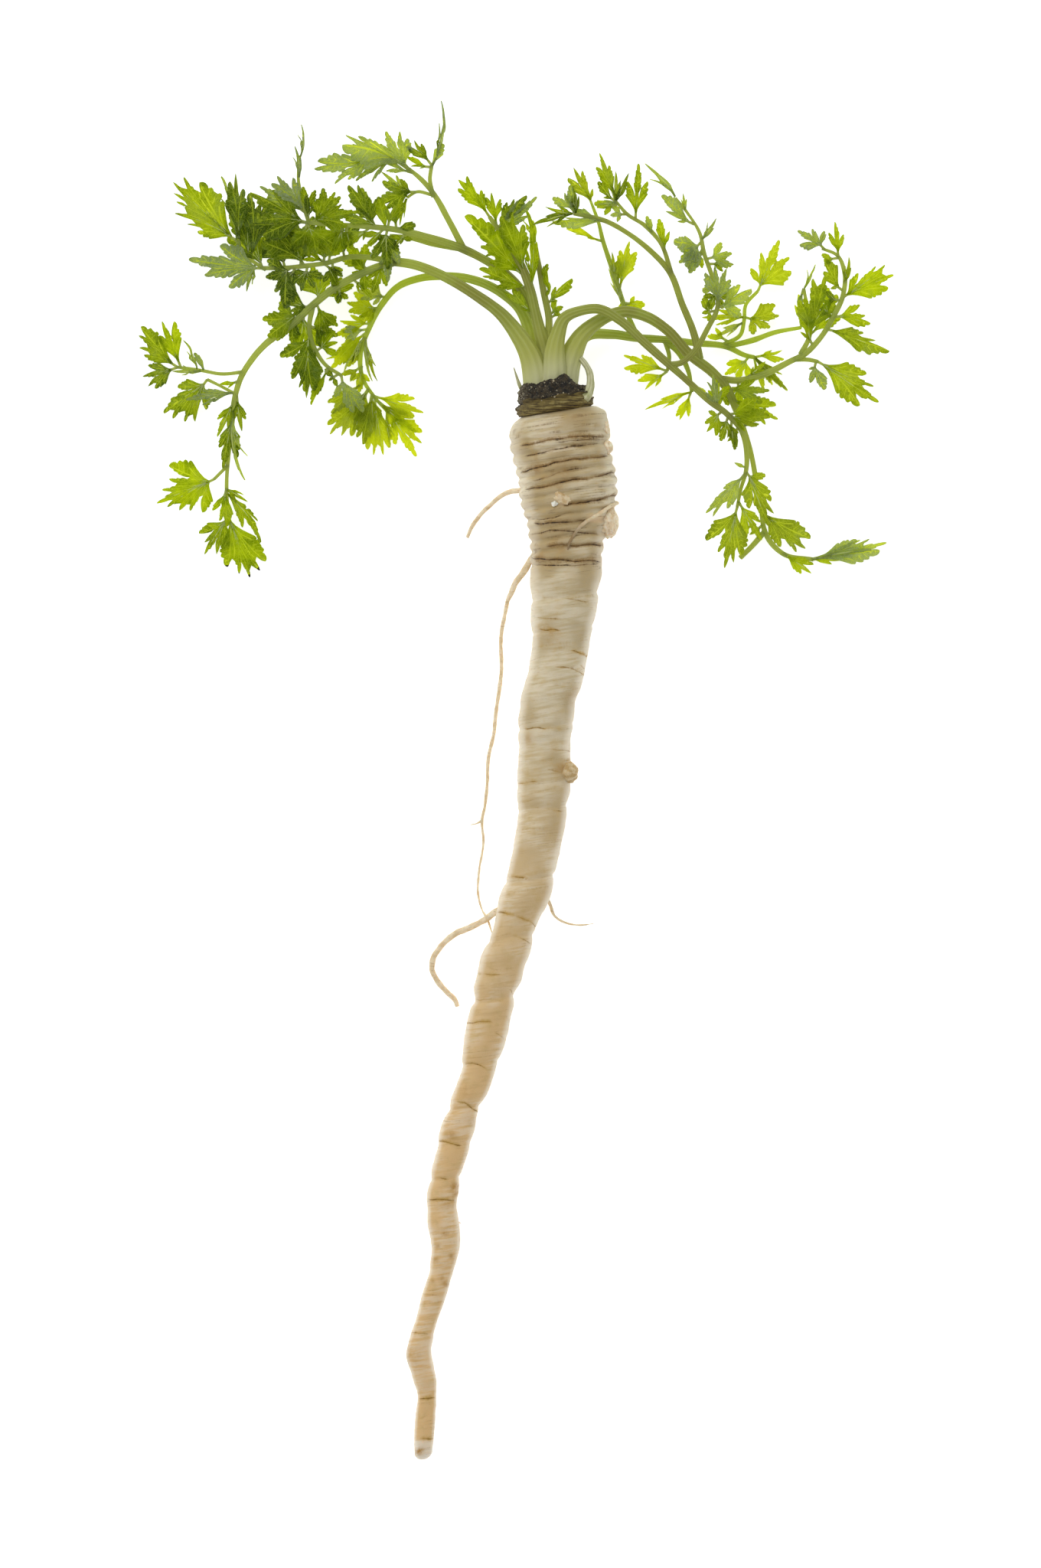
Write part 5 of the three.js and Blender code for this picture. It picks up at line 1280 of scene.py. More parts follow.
def addSlip(store, stalks, leaf, play):
    shape, x, y, tipX, tipY, rise, width, roll, pale = leaf
    base = nearestOnStalks(stalks, x, y)
    run = np.array([tipX, tipY, base[2] + rise]) - base
    length = np.linalg.norm(run)
    ahead = run / length
    across = np.cross((0, 0, 1), ahead)
    across /= np.linalg.norm(across)
    turn = math.radians(roll)
    across = across * math.cos(turn) + np.cross(ahead, across) * math.sin(turn)
    up = np.cross(ahead, across)
    half = max(width * length / 2, 0.6)
    tips = sorted(((share * length, aside * half) for share, aside in shape),
                  key=lambda tip: math.atan2(tip[1], tip[0]))
    widest = lobeShape["slipWidth"][0 if len(shape) == 1 else 1] * half

    def toWorld(points, heights):
        return base + points[:, :1] * ahead + points[:, 1:] * across + heights[:, None] * up
    neck = np.array([blade["slipNeck"], 0.0])
    lobes = lobesFor(neck, tips, [0.0] * len(tips), play)
    addLeaf(store, leafOutline(neck, lobes, play, widest), lobes, 0, toWorld, pale, play)


def leafFinish(name, fresh, deep, glow, shade):
    made = Finish(name)
    tints = blade["tints"]
    sun, gloom, veinGlow = (made.through(blade["glows"][part]) for part in ("sun", "shade", "veins"))
    where = made.place()
    toneAndShade = made.stored("toneAndShade")
    # Veins: the midrib, a branch to each tooth, finer ones between them, and a net.
    ahead, aside, _ = made.split(made.node("ShaderNodeUVMap", {"uv_map": "veins"}, {}))
    side = aside.size()
    rib = side.ramp(0.13, 0.04)
    branch = (ahead - 0.8 * side + 0.3).part() - 0.5
    twigs = branch.size().ramp(0.07, 0.02) * side.ramp(1.1, 0.8)
    fineBranch = (3.0 * ahead - 1.6 * side).part() - 0.5
    twiglets = fineBranch.size().ramp(0.1, 0.03) * 0.45
    net = made.cells(where, 0.9, "DISTANCE_TO_EDGE").ramp(0.09, 0.02)
    coarse = made.maths("MAXIMUM", rib, twigs)
    veins = made.maths("MAXIMUM", coarse, made.maths("MAXIMUM", twiglets, 0.35 * net))
    patches = made.noise(where, 5.0, 2.0)
    fine = made.noise(where, 0.7, 2.0)
    pale = made.stored("pale") + 0.35 * patches.ramp(0.48, 0.34)
    right, far, _ = made.split(where)
    sunny = right.ramp(15, 55) * (0.7 + 0.6 * far.ramp(75, 50))
    green = made.mix(patches.ramp(0.35, 0.65), fresh, deep)
    sunlit = made.mix(0.35 * sunny, green, tints["sunny"])
    toned = made.mix(0.4 * toneAndShade.ramp(0.0, 1.0), sunlit, tints["lightTone"])
    shaded = made.mix(0.6 * toneAndShade.ramp(0.0, -1.6), toned, tints["darkTone"])
    back = made.mix(fine.ramp(0.3, 0.7), tints["back"], tints["paleBack"])
    colour = made.mix(0.6 * veins, made.mix(0.9 * pale, shaded, back), tints["veins"])
    # Painted highlight: small whitish glints strewn over the blades.
    paintedGlints = made.cells(where, 1.7).ramp(0.13, 0.07) * fine.ramp(0.5, 0.6)
    body = made.paint({
        "Base Color": made.mix(0.7 * paintedGlints, colour, tints["paintedGlints"]), "Roughness": 0.45 + 0.25 * pale,
        "Normal": made.bump(0.3 * fine - veins, 0.22, 0.75), "Specular IOR Level": 0.12,
    })
    sunlight = made.layered(0.75 * sunny, made.through(glow), sun)
    dim = (0.8 * toneAndShade.ramp(0.1, -1.4) + 0.5 * patches.ramp(0.45, 0.68)) * (shade - 0.6 * sunny)
    light = made.layered(dim, sunlight, gloom)
    share = (0.9 - 0.3 * patches + 0.16 * toneAndShade) * (1 - 0.4 * pale)
    sheet = made.layered(share, body, light)
    return made.done(made.layered(0.85 * veins, sheet, veinGlow))


blades = {
    "leaf_green": leafFinish("leaf_green", "5c7610", "324806", (0.68, 0.77, 0.012, 1), 1.0),
    "leaf_lit": leafFinish("leaf_lit", "86981a", "5c7412", (0.93, 0.97, 0.06, 1), 0.4),
}
stems = {
    "leaf_green": stalkFinish("stalk_olive", "a6b04c", "8f8a42", "bac874", "d4da78"),
    "leaf_lit": stalkFinish("stalk_young", "b2c244", "a0ae40", "c8d664", "dce664"),
}
midrib["Material"] = ribFinish()


def makeFrond(name, slotName, number, stalks, leaves, slips):  # the number seeds its random play
    random = randomFrom(11 + number)
    play = np.random.default_rng(100 + number)
    store = {part: [] for part in ("points", "faces", "veins", "toneAndShade", "pale", "ribs", "feet")}
    store["count"] = 10 * number
    for leaf in leaves:
        addFlatLeaf(store, stalks, leaf, random, play)
    for leaf in slips:
        addSlip(store, stalks, leaf, play)
    numbers = {label: np.concatenate(store[label]) for label in ("toneAndShade", "pale")}
    points = np.concatenate(store["points"])
    sheets = meshPiece(name + "_blades", points, store["faces"], blades[slotName], numbers, blade["crease"])
    uv = sheets.data.uv_layers.new(name="veins")
    uv.data.foreach_set("uv", np.array(store["veins"], np.float32).ravel())
    stem = {"Material": stems[slotName]}
    routes = [widened(route) for route in stalks]
    pieces = [
        sheets, tubePiece(name + "_stalks", routes, {**stalk, **stem}),
        tubePiece(name + "_ribs", store["ribs"], midrib),
        tubePiece(name + "_feet", store["feet"], {**midrib, **stem}),
    ]
    for piece in pieces:
        dress(piece, name)
    print(name, "made:", len(store["faces"]), "blade faces")


# The fronds. Stalks: routes of X, Y, Z, radius. Leaves: X and Y of the foot, rise, 1 where the grey back
# shows, and the tips of the lobes. Slips: shape, foot, tip, rise, width, roll in degrees, grey back.
makeFrond("frond_left_front", "leaf_green", 0, stalks=[
    [(-7, 70, 14.5, 2.9), (-7.5, 76.5, 15, 3.1), (-9, 82, 16, 2.91), (-12.5, 88, 17.5, 2.31),
     (-17, 93.5, 18, 1.79), (-25, 99.5, 18, 1.51), (-33.5, 104.5, 17.5, 1.37), (-42.5, 108, 16.5, 1.3),
     (-50, 109, 15.5, 1.15)],
    [(-47, 108.5, 16, 0.94), (-55.5, 110, 17, 0.77), (-61, 110, 17.5, 0.77), (-66.5, 108.5, 17.5, 0.68),
     (-73.5, 107.5, 17, 0.68), (-80, 107, 16, 0.59), (-85.5, 107, 15, 0.59)],
    [(-84.5, 106.5, 15.2, 0.51), (-90, 110.5, 14.5, 0.51), (-93, 115, 14.5, 0.42)],
    [(-47, 109, 15.8, 1.19), (-57, 105.5, 15.5, 1.1), (-64.5, 101.5, 15, 1.02), (-71, 96.5, 14.5, 1.02),
     (-77.5, 90.5, 13.5, 0.94), (-84.5, 85.5, 12.5, 0.94), (-89, 80.5, 11, 0.85), (-91.5, 76.5, 10, 0.85),
     (-93.5, 70.5, 8.5, 0.77), (-94.5, 61.5, 7.5, 0.68), (-95.5, 53, 6.5, 0.59), (-96, 44, 5, 0.51),
     (-95.5, 36.5, 3.5, 0.51)],
    [(-91, 77.5, 10.3, 0.59), (-97.5, 77, 9, 0.51), (-103, 78, 8, 0.51), (-110, 79, 7, 0.42)],
    [(-95.5, 51, 6.3, 0.51), (-99.5, 47, 5.5, 0.42)],
    [(-71, 97, 14.5, 0.77), (-72, 89, 14, 0.68), (-70.5, 84, 13, 0.59), (-67.5, 79.5, 12, 0.51),
     (-63, 76.5, 11, 0.51)],
    [(-93, 71, 8.6, 0.51), (-97.5, 73.5, 7.5, 0.42), (-101.5, 75.5, 6.5, 0.42)],
], leaves=[
    (-93, 115, 1, 0, (-103.5, 131.5), (-108, 133), (-111, 131.5), (-111, 128.5), (-110, 126), (-110.5, 122.5),
     (-107, 119.5), (-104, 117.5)),
    (-92, 113.5, 5.5, 0, (-94.5, 131.5), (-93, 134), (-91, 129.5)),
    (-89.5, 110, -2.5, 0, (-94.5, 124.5), (-90.5, 126.5), (-86.5, 122)),
    (-85.5, 107, 0, 1, (-97.5, 113.5), (-106.5, 109.5), (-102, 105), (-95, 101.5)),
    (-77, 107.5, -2, 0, (-84, 109.5), (-84.5, 104.5), (-81.5, 101), (-79, 95.5)),
    (-73.5, 108, 4, 0, (-85.5, 114), (-84, 122), (-78, 123.5), (-73.5, 118.5)),
    (-68, 108.5, -1, 0, (-64, 102), (-62.5, 106.5)),
    (-66.5, 108.5, 3, 0, (-63, 112), (-69, 114)),
    (-75, 93, 0, 0, (-80.5, 97.5), (-85.5, 92.5), (-84, 87.5)),
    (-72.5, 88, -2, 0, (-80.5, 82), (-77, 75.5), (-75, 73), (-73, 70), (-71, 72)),
    (-70, 97, -2, 0, (-64, 90.5), (-66.5, 88), (-69.5, 88)),
    (-64, 102, -3, 0, (-64, 97), (-62, 99.5)),
    (-54.5, 106.5, -1, 0, (-59.5, 110), (-60, 104.5), (-56, 101)),
    (-66.5, 79, -2, 0, (-71.5, 68), (-70, 71)),
    (-63, 76.5, -2, 1, (-65, 70.5), (-59.5, 66), (-57, 66)),
    (-110, 79, 2, 0, (-120.5, 90.5), (-121, 88), (-121, 84.5), (-119.5, 82.5)),
    (-109, 79, 3, 0, (-115, 88), (-114.5, 92), (-111, 92)),
    (-110, 79, -1, 0, (-118.5, 79.5), (-120, 76.5), (-118.5, 73.5), (-116.5, 73)),
    (-101.5, 75.5, -2, 0, (-110, 73.5), (-114, 66), (-111.5, 64.5), (-108, 63.5), (-105, 63.5), (-102, 67)),
    (-93.5, 69.5, -1, 0, (-98.5, 64), (-98.5, 59), (-95.5, 60.5)),
    (-94, 65, -1, 0, (-98, 56), (-97, 50), (-93, 53)),
    (-99.5, 47, -1, 0, (-112.5, 51), (-112.5, 47), (-114.5, 44), (-116, 40), (-113, 39), (-109.5, 38),
     (-106.5, 38), (-103, 37.5)),
    (-96, 44.5, -1, 0, (-100, 38), (-98, 35), (-96, 33.5)),
    (-95.5, 36.5, -3, 0, (-104, 31.5), (-102.5, 29), (-102.5, 25.5), (-99, 25.5), (-96.5, 27)),
    (-95.5, 36, -4, 0, (-96, 22), (-92.5, 20), (-89.5, 19), (-86.5, 21), (-85, 23.5)),
    (-72.5, 107.5, -2, 0, (-77.5, 105.5), (-77.5, 102), (-74.5, 100.5), (-70.5, 101.5), (-68, 104.5)),
    (-71.5, 96, -2, 0, (-79.5, 100.5), (-80, 97), (-78, 94.5), (-77, 93.5)),
    (-70, 83.5, -1, 0, (-68.5, 90), (-65, 89), (-64, 86), (-64, 82.5)),
    (-64, 76.5, -1, 0, (-67.5, 78.5), (-66.5, 75), (-64, 73.5)),
    (-51, 108.5, -2, 0, (-55.5, 104), (-54, 100), (-50, 102)),
    (-67, 108.5, -2, 0, (-73.5, 113), (-74, 109.5), (-72, 111)),
    (-88.5, 110, 1, 0, (-89, 128.5), (-86, 126), (-83.5, 128.5)),
    (-65.5, 109, -2, 0, (-68, 103), (-65, 101), (-62.5, 104.5)),
    (-92, 70.5, -1, 0, (-94, 63.5), (-91.5, 60.5), (-90.5, 64)),
    (-91.5, 75, -1, 0, (-95.5, 73), (-98, 74)),
    (-85.5, 107, -4, 0, (-95.5, 116), (-92, 120.5), (-87, 121.5), (-84, 117.5)),
    (-79, 107, -5, 0, (-87.5, 115), (-86, 121.5), (-79.5, 123), (-75.5, 117.5)),
    (-74.5, 107.5, -6, 0, (-79.5, 115), (-77, 121), (-71, 122), (-68, 117)),
    (-68, 108.5, -5, 0, (-73, 116), (-69.5, 121), (-63, 119), (-62, 114)),
    (-62, 110, -5, 0, (-67, 116.5), (-64.5, 121.5), (-58.5, 121)),
    (-76, 107.5, -5, 0, (-84, 104.5), (-82, 100.5), (-77, 98.5), (-74, 101.5)),
    (-69.5, 97, -5, 0, (-75, 104.5), (-71.5, 108), (-65.5, 106), (-63, 101.5)),
    (-74, 93, -4, 0, (-81, 96), (-84, 91.5), (-81.5, 86.5), (-77, 85.5)),
    (-73.5, 94, -5, 0, (-78.5, 89), (-76.5, 83), (-71.5, 80.5), (-68, 84.5)),
    (-70.5, 84, -3, 0, (-76.5, 81.5), (-77.5, 77), (-73.5, 72), (-69.5, 75)),
    (-71, 90, -4, 0, (-68, 95), (-64.5, 93.5), (-64, 88), (-67, 84)),
    (-55.5, 106.5, -4, 0, (-63, 110), (-62, 114), (-56, 114)),
    (-66.5, 100.5, -3, 0, (-63, 104.5), (-59.5, 102.5), (-61, 98.5), (-64.5, 97.5)),
    (-60, 104.5, -4, 0, (-58, 100.5), (-54.5, 98.5), (-52.5, 102)),
], slips=[
    (hand, -93.5, 116, -97.5, 133, 4, 0.22, 50, 1), (hand, -87.5, 108, -90, 100.5, -3, 0.3, 40, 1),
    (slip, -70.5, 83.5, -70, 74, -1, 0.35, 20, 0), (hand, -103, 78, -111.5, 78, 1, 0.3, -30, 1),
    (hand, -104.5, 78, -108.5, 86.5, 4, 0.22, 60, 1), (slip, -102.5, 78, -105, 83, 2, 0.4, 30, 1),
    (hand, -94, 71.5, -107.5, 69.5, 1, 0.3, 10, 1), (hand, -93.5, 67, -90.5, 46.5, 2, 0.17, 55, 1),
    (hand, -95.5, 44, -90, 40, 1, 0.45, -25, 0), (hand, -95.5, 43, -86, 29, 1, 0.28, -30, 0),
])
makeFrond("frond_left_upper", "leaf_green", 1, stalks=[
    [(-4.5, 70, 8, 1.5), (-5, 76.5, 7.5, 1.7), (-5.5, 83, 7.2, 1.73), (-7, 90, 7.5, 1.5),
     (-9.5, 97.5, 9, 1.31), (-13.5, 103.5, 11, 1.22), (-18.5, 107.5, 13, 1.22), (-24, 110.5, 16, 1.15),
     (-28.5, 112.5, 18.5, 1.15), (-38, 115.5, 22, 0.97), (-47, 117.5, 25, 0.86), (-58, 118.5, 26.5, 0.72),
     (-66.5, 119, 26, 0.65), (-72.5, 119.5, 25, 0.58)],
    [(-26.5, 112, 17.5, 0.77), (-36, 113.5, 18.5, 0.68), (-43.5, 115.5, 19.3, 0.68), (-49, 116, 20, 0.51)],
    [(-28, 112.5, 18.2, 0.94), (-32.5, 121, 20, 0.85), (-36.5, 128, 21, 0.77), (-40, 132, 22, 0.68),
     (-43.5, 135, 22, 0.51)],
    [(-36.5, 127, 21, 0.68), (-37.5, 132, 22, 0.59), (-37, 136, 23, 0.51)],
    [(-36.5, 127.5, 20.8, 0.51), (-41.5, 128.5, 20, 0.42), (-44, 127, 19, 0.42)],
    [(-43, 134.5, 22, 0.51), (-48, 137.5, 23, 0.42), (-52.5, 138, 23, 0.38)],
    [(-72, 119.5, 25.2, 0.59), (-74, 126, 26, 0.51), (-75, 133, 27, 0.42), (-74.5, 138.5, 27, 0.38)],
], leaves=[
    (-43.5, 135, 3, 1, (-62.5, 141.5), (-61.5, 144.5), (-58, 144), (-50, 145.5), (-46, 145.5), (-44, 143.5)),
    (-52.5, 138, 0, 1, (-69.5, 137), (-70.5, 135), (-64.5, 130.5), (-61, 132)),
    (-37, 136, 2, 0, (-44, 141.5), (-42, 143), (-40, 142)),
    (-41.5, 128.5, 2, 0, (-46, 132), (-51, 131.5), (-53.5, 124), (-50, 124)),
    (-49.5, 118.5, 3, 0, (-50, 123.5), (-46, 124.5)),
    (-53, 118.5, 3, 0, (-60.5, 130), (-58, 130), (-54.5, 126)),
    (-54.5, 118.5, -3, 0, (-62.5, 114.5), (-60.5, 113), (-56.5, 114.5)),
    (-49, 116, -2, 1, (-54.5, 110), (-52, 108), (-49.5, 103), (-46.5, 108)),
    (-71.5, 119.5, 3, 0, (-68, 127), (-64.5, 128), (-62.5, 124.5), (-57.5, 122.5), (-61, 118.5)),
    (-73, 121, 4, 0, (-73.5, 129.5), (-70, 128.5)),
    (-73.5, 122, 3, 1, (-82.5, 130.5), (-81, 132.5), (-76.5, 132)),
    (-72.5, 119.5, 3, 0, (-80, 124.5), (-82.5, 128.5), (-88.5, 128), (-87, 119.5), (-85, 115.5)),
    (-72.5, 119, -2, 0, (-77, 113.5), (-70, 110.5), (-65.5, 112), (-62.5, 112)),
    (-50.5, 118, -4, 0, (-56.5, 116), (-55.5, 113), (-51.5, 114)),
    (-44.5, 117, -2, 0, (-49, 115.5), (-48, 112.5), (-46, 113.5), (-42.5, 115)),
    (-47, 118, 1, 0, (-49, 121.5), (-47.5, 124.5), (-45.5, 125.5)),
    (-72.5, 119, -5, 0, (-81.5, 122.5), (-88, 124), (-89, 119), (-84, 115)),
    (-72.5, 119.5, -6, 0, (-78.5, 116), (-77, 111.5), (-72, 110), (-68, 113)),
    (-69, 119, -5, 0, (-71.5, 126.5), (-68, 129.5), (-63, 127), (-61, 123)),
    (-73.5, 122, -4, 1, (-84, 126), (-86, 130), (-80.5, 130), (-77, 127)),
    (-61, 118.5, -4, 0, (-66, 115), (-64.5, 110.5), (-59.5, 112), (-58.5, 115.5)),
    (-53.5, 118.5, -4, 0, (-58.5, 124), (-57, 129.5), (-52, 127)),
    (-49.5, 118, -5, 0, (-53.5, 115), (-54, 109.5), (-49.5, 106.5), (-46.5, 111.5)),
    (-42, 134, 0, 1, (-51.5, 137), (-50, 134.5), (-46.5, 135)),
    (-37.5, 135.5, 1, 0, (-44, 138), (-43, 135.5), (-40.5, 135)),
    (-43.5, 135, -2, 1, (-51, 141.5), (-52, 139.5), (-48.5, 139)),
    (-52, 118.5, 2, 0, (-62.5, 121.5), (-58, 123.5), (-56, 121)),
    (-72.5, 119.5, 5, 0, (-72.5, 127), (-70.5, 124)),
    (-62.5, 119, -2, 0, (-64, 116.5), (-65, 111.5), (-62, 112), (-60.5, 115.5)),
], slips=[
    (hand, -48, 137.5, -58.5, 131.5, -2, 0.4, 30, 1), (hand, -37.5, 135.5, -33.5, 154, 3, 0.17, 60, 1),
    (hand, -44, 127, -46, 119, -2, 0.22, 30, 0), (slip, -47, 118, -41.5, 119, -1, 0.6, 0, 0),
    (slip, -36.5, 136, -33.5, 142, 1, 0.45, 0, 1), (hand, -46.5, 128, -51.5, 134.5, 2, 0.4, 10, 1),
    (slip, -50, 118.5, -52, 126, 2, 0.5, 0, 0), (hand, -75, 132, -75.5, 141, 2, 0.25, 40, 1),
    (hand, -74.5, 138, -73.5, 147, 3, 0.18, 60, 1),
])
makeFrond("frond_left_lower", "leaf_lit", 2, stalks=[
    [(-8, 70, 10, 1.6), (-8.5, 76.5, 9.5, 1.9), (-9, 82, 9.5, 1.95), (-9, 88, 10.3, 1.76),
     (-12, 95.5, 11, 1.42), (-18.5, 101, 10.5, 1.3), (-25.5, 104, 9.5, 1.22), (-32.5, 105, 8.5, 1.15),
     (-40.5, 104.5, 7.5, 1.08), (-47, 102, 6.5, 0.94), (-51.5, 97, 5.8, 0.86), (-55, 90.5, 5, 0.72),
     (-57.5, 83.5, 4.5, 0.65), (-57, 76, 3.8, 0.58), (-53.5, 70.5, 3, 0.5), (-49.5, 66, 2.5, 0.43)],
], leaves=[
    (-52, 96, 1, 0, (-59.5, 100.5), (-61.5, 97.5), (-61, 95), (-55.5, 93.5)),
    (-54.5, 91.5, 0, 0, (-60.5, 94), (-63.5, 92.5), (-64.5, 88.5)),
    (-55.5, 89.5, 0, 0, (-64, 84), (-67.5, 81.5), (-66, 79)),
    (-57, 85.5, -1, 0, (-62.5, 80), (-60, 80.5)),
    (-57.5, 79.5, 0, 0, (-63, 77), (-60.5, 75)),
    (-56.5, 75, 0, 0, (-67, 69), (-66, 66)),
    (-55.5, 73, -1, 0, (-67, 62.5), (-66.5, 60), (-63, 59.5), (-60.5, 59.5)),
    (-54.5, 71.5, 0, 0, (-58.5, 59), (-57, 57)),
    (-53.5, 70.5, -1, 0, (-55.5, 55.5), (-54, 54), (-51, 54), (-49.5, 56)),
    (-53.5, 71, 0, 0, (-42, 70), (-39.5, 66), (-42, 65)),
    (-49.5, 66, 0, 0, (-40, 60.5), (-40, 57.5), (-41.5, 53.5), (-47.5, 57)),
    (-52.5, 95, -2, 0, (-58, 99), (-60.5, 95.5), (-58.5, 91.5)),
    (-56, 86, -2, 0, (-62, 88), (-64.5, 83.5), (-61.5, 79.5)),
    (-57, 79.5, -1, 0, (-60.5, 75.5), (-58, 72), (-55, 75)),
    (-55, 73, -1, 0, (-63, 68), (-64, 63.5), (-59.5, 60.5), (-56.5, 63.5)),
    (-54.5, 71.5, -1, 0, (-58, 64), (-56, 58), (-52.5, 59), (-51.5, 63.5)),
    (-52, 70, -1, 0, (-48.5, 65), (-44, 61.5), (-42.5, 64.5)),
    (-49.5, 99, 1, 1, (-55.5, 104.5), (-58.5, 101), (-57.5, 98.5), (-54, 97)),
    (-52, 96.5, -1, 0, (-57, 96.5), (-58, 93.5), (-55.5, 91.5)),
    (-55, 90, 1, 1, (-62, 90.5), (-63.5, 89.5), (-62, 86.5)),
], slips=[
    (hand, -56, 88, -62, 77, 2, 0.2, 45, 1), (hand, -56, 88, -54, 75, 2, 0.2, 50, 1),
    (hand, -56, 87.5, -53, 75, 1, 0.18, 30, 0), (hand, -51.5, 68, -41.5, 60.5, 0, 0.5, 0, 0),
    (hand, -50, 66.5, -48.5, 56, 1, 0.2, 40, 0),
])
makeFrond("frond_centre", "leaf_green", 3, stalks=[
    [(-3, 70, 12, 1.7), (-3.5, 76.5, 12, 1.9), (-4.5, 83, 13.5, 2.01), (-6, 88.5, 16, 1.72),
     (-7.5, 94.5, 18.5, 1.42), (-9, 101, 20, 1.3), (-11.5, 107.5, 20.5, 1.15), (-15, 113.5, 20, 0.94),
     (-18.5, 118.5, 19, 0.79), (-20.5, 121.5, 18, 0.58)],
    [(-4.5, 84, 13.8, 1.1), (-3.5, 91.5, 15, 1.02), (-5, 100, 16, 0.94), (-6.5, 108, 16, 0.77),
     (-7.5, 114, 15.5, 0.59)],
], leaves=[
    (-20.5, 121.5, 3, 0, (-29.5, 129.5), (-29.5, 132), (-27, 133), (-23, 129)),
    (-18.5, 118.5, 2, 0, (-21.5, 127), (-20, 128.5), (-17.5, 126.5)),
    (-10.5, 104.5, 3, 0, (-20.5, 108.5), (-23, 113), (-27.5, 121.5)),
    (-10.5, 105, 5, 0, (-17, 121.5), (-14, 122), (-11, 119)),
    (-9, 101, -1, 0, (-18.5, 101.5), (-22.5, 104.5), (-23.5, 106.5)),
    (-7, 93.5, 0, 0, (-12, 95.5), (-16.5, 100), (-14, 101)),
    (-4.5, 96.5, 2, 0, (-1.5, 101.5), (3, 104), (-1, 97.5)),
    (-3.5, 92.5, 0, 0, (0, 96), (-0.5, 93.5)),
    (-18, 118, 2, 0, (-15.5, 125.5), (-13.5, 126.5), (-10, 127.5)),
    (-6.5, 99, 1, 0, (-4, 106), (-3.5, 103), (-4.5, 99)),
    (-4, 93.5, 1, 0, (-2, 98), (0.5, 96), (0, 93)),
    (-14.5, 112, -1, 0, (-23, 112.5), (-22, 110), (-19, 109)),
], slips=[
    (hand, -18, 118, -7, 127, 3, 0.36, 20, 1), (hand, -8.5, 100.5, -9.5, 122, 3, 0.22, 30, 0),
    (hand, -7.5, 114, -10.5, 124.5, -1, 0.3, 30, 0), (slip, -5.5, 104, -4, 108, 1, 0.5, 0, 0),
])
makeFrond("frond_right_front", "leaf_green", 4, stalks=[
    [(-2.5, 70, 16, 2.5), (-2, 76.5, 17, 2.8), (-2, 82.5, 18, 2.71), (-1, 88, 19.5, 2.09),
     (1, 92.5, 21, 1.64), (5.5, 94.5, 22, 1.4), (10.5, 95, 22.5, 1.37), (17, 91.5, 23, 1.3),
     (23.5, 85.5, 24, 1.22), (29, 80.5, 25, 1.15), (33, 77, 25, 1.01), (37.5, 73, 23.5, 0.94),
     (42, 69, 22, 0.94), (47.5, 65, 19, 0.86), (51.5, 60.5, 16.5, 0.79), (53, 55, 13.5, 0.72),
     (53, 49.5, 11, 0.65), (51.5, 44, 9, 0.5), (50.5, 39, 7.5, 0.43)],
    [(30.5, 79, 25, 0.85), (34, 79.5, 25.5, 0.85), (38, 83, 26, 0.85), (41.5, 89, 27, 0.77),
     (44.5, 95.5, 28, 0.68), (43, 103.5, 29, 0.59), (40.5, 111, 29, 0.59), (39.5, 116, 28, 0.51),
     (36, 122, 27, 0.42), (32.5, 126.5, 26, 0.38)],
], leaves=[
    (44.5, 95.5, 3, 1, (41, 105), (43.5, 107), (47, 106), (48, 103)),
    (44.5, 95, 0, 1, (51, 101.5), (54, 100.5), (51, 92.5)),
    (41.5, 109, 1, 1, (45.5, 113.5), (48.5, 110.5), (48.5, 107)),
    (40, 114, 1, 1, (32, 114), (36, 106.5), (38.5, 106.5)),
    (38, 119, 2, 1, (28.5, 127), (29.5, 122.5), (33, 119.5)),
    (46, 66, -1, 0, (42, 66), (41, 62.5), (41.5, 60), (44, 59)),
    (47.5, 65, 1, 0, (55.5, 69.5), (54.5, 63.5)),
    (48.5, 63.5, -2, 0, (47.5, 58.5), (49.5, 55)),
    (52.5, 48.5, 0, 1, (46.5, 44), (41.5, 37), (43.5, 36), (47.5, 38.5)),
    (53, 49, -1, 0, (58.5, 48), (60, 40.5), (61, 37), (59.5, 33.5), (54, 38.5)),
    (50.5, 39, -1, 0, (41.5, 29.5), (45, 26), (47, 21.5), (49.5, 23), (51.5, 25)),
    (51, 40.5, -1, 0, (53, 30), (57.5, 29.5), (57, 34.5)),
    (44.5, 94, -2, 0, (40.5, 98), (40, 93.5), (42.5, 91)),
    (40.5, 110.5, -1, 1, (33.5, 112), (33.5, 108), (36.5, 105)),
    (41.5, 107.5, -1, 0, (47.5, 110), (49, 107.5), (46, 105.5)),
    (44.5, 67.5, -3, 0, (42, 72), (44, 75), (48, 73)),
    (47.5, 64.5, -3, 0, (43.5, 61.5), (45.5, 57.5), (49.5, 57)),
    (51.5, 61, -2, 0, (56.5, 62.5), (58.5, 67), (55, 69.5)),
    (44, 100.5, -3, 0, (40.5, 98.5), (41.5, 94.5), (46, 95), (49, 98.5)),
    (40.5, 112, -2, 0, (34, 109.5), (36.5, 105.5), (40, 106.5)),
    (50, 67, -2, 0, (59.5, 64.5), (55, 61.5), (52.5, 60.5)),
    (51.5, 62.5, -1, 0, (47.5, 57.5), (49.5, 55)),
], slips=[
    (slip, 43.5, 101.5, 40, 99.5, -2, 0.6, 0, 1), (hand, 40, 114.5, 44, 120.5, 2, 0.3, 30, 1),
    (hand, 35.5, 123, 34.5, 128, 2, 0.3, 0, 1), (hand, 32.5, 126.5, 23.5, 136, 2, 0.25, 40, 1),
    (broad, 44, 68, 43, 76.5, 4, 0.45, 20, 1), (slip, 53, 50, 49.5, 51.5, 1, 0.4, 0, 1),
])
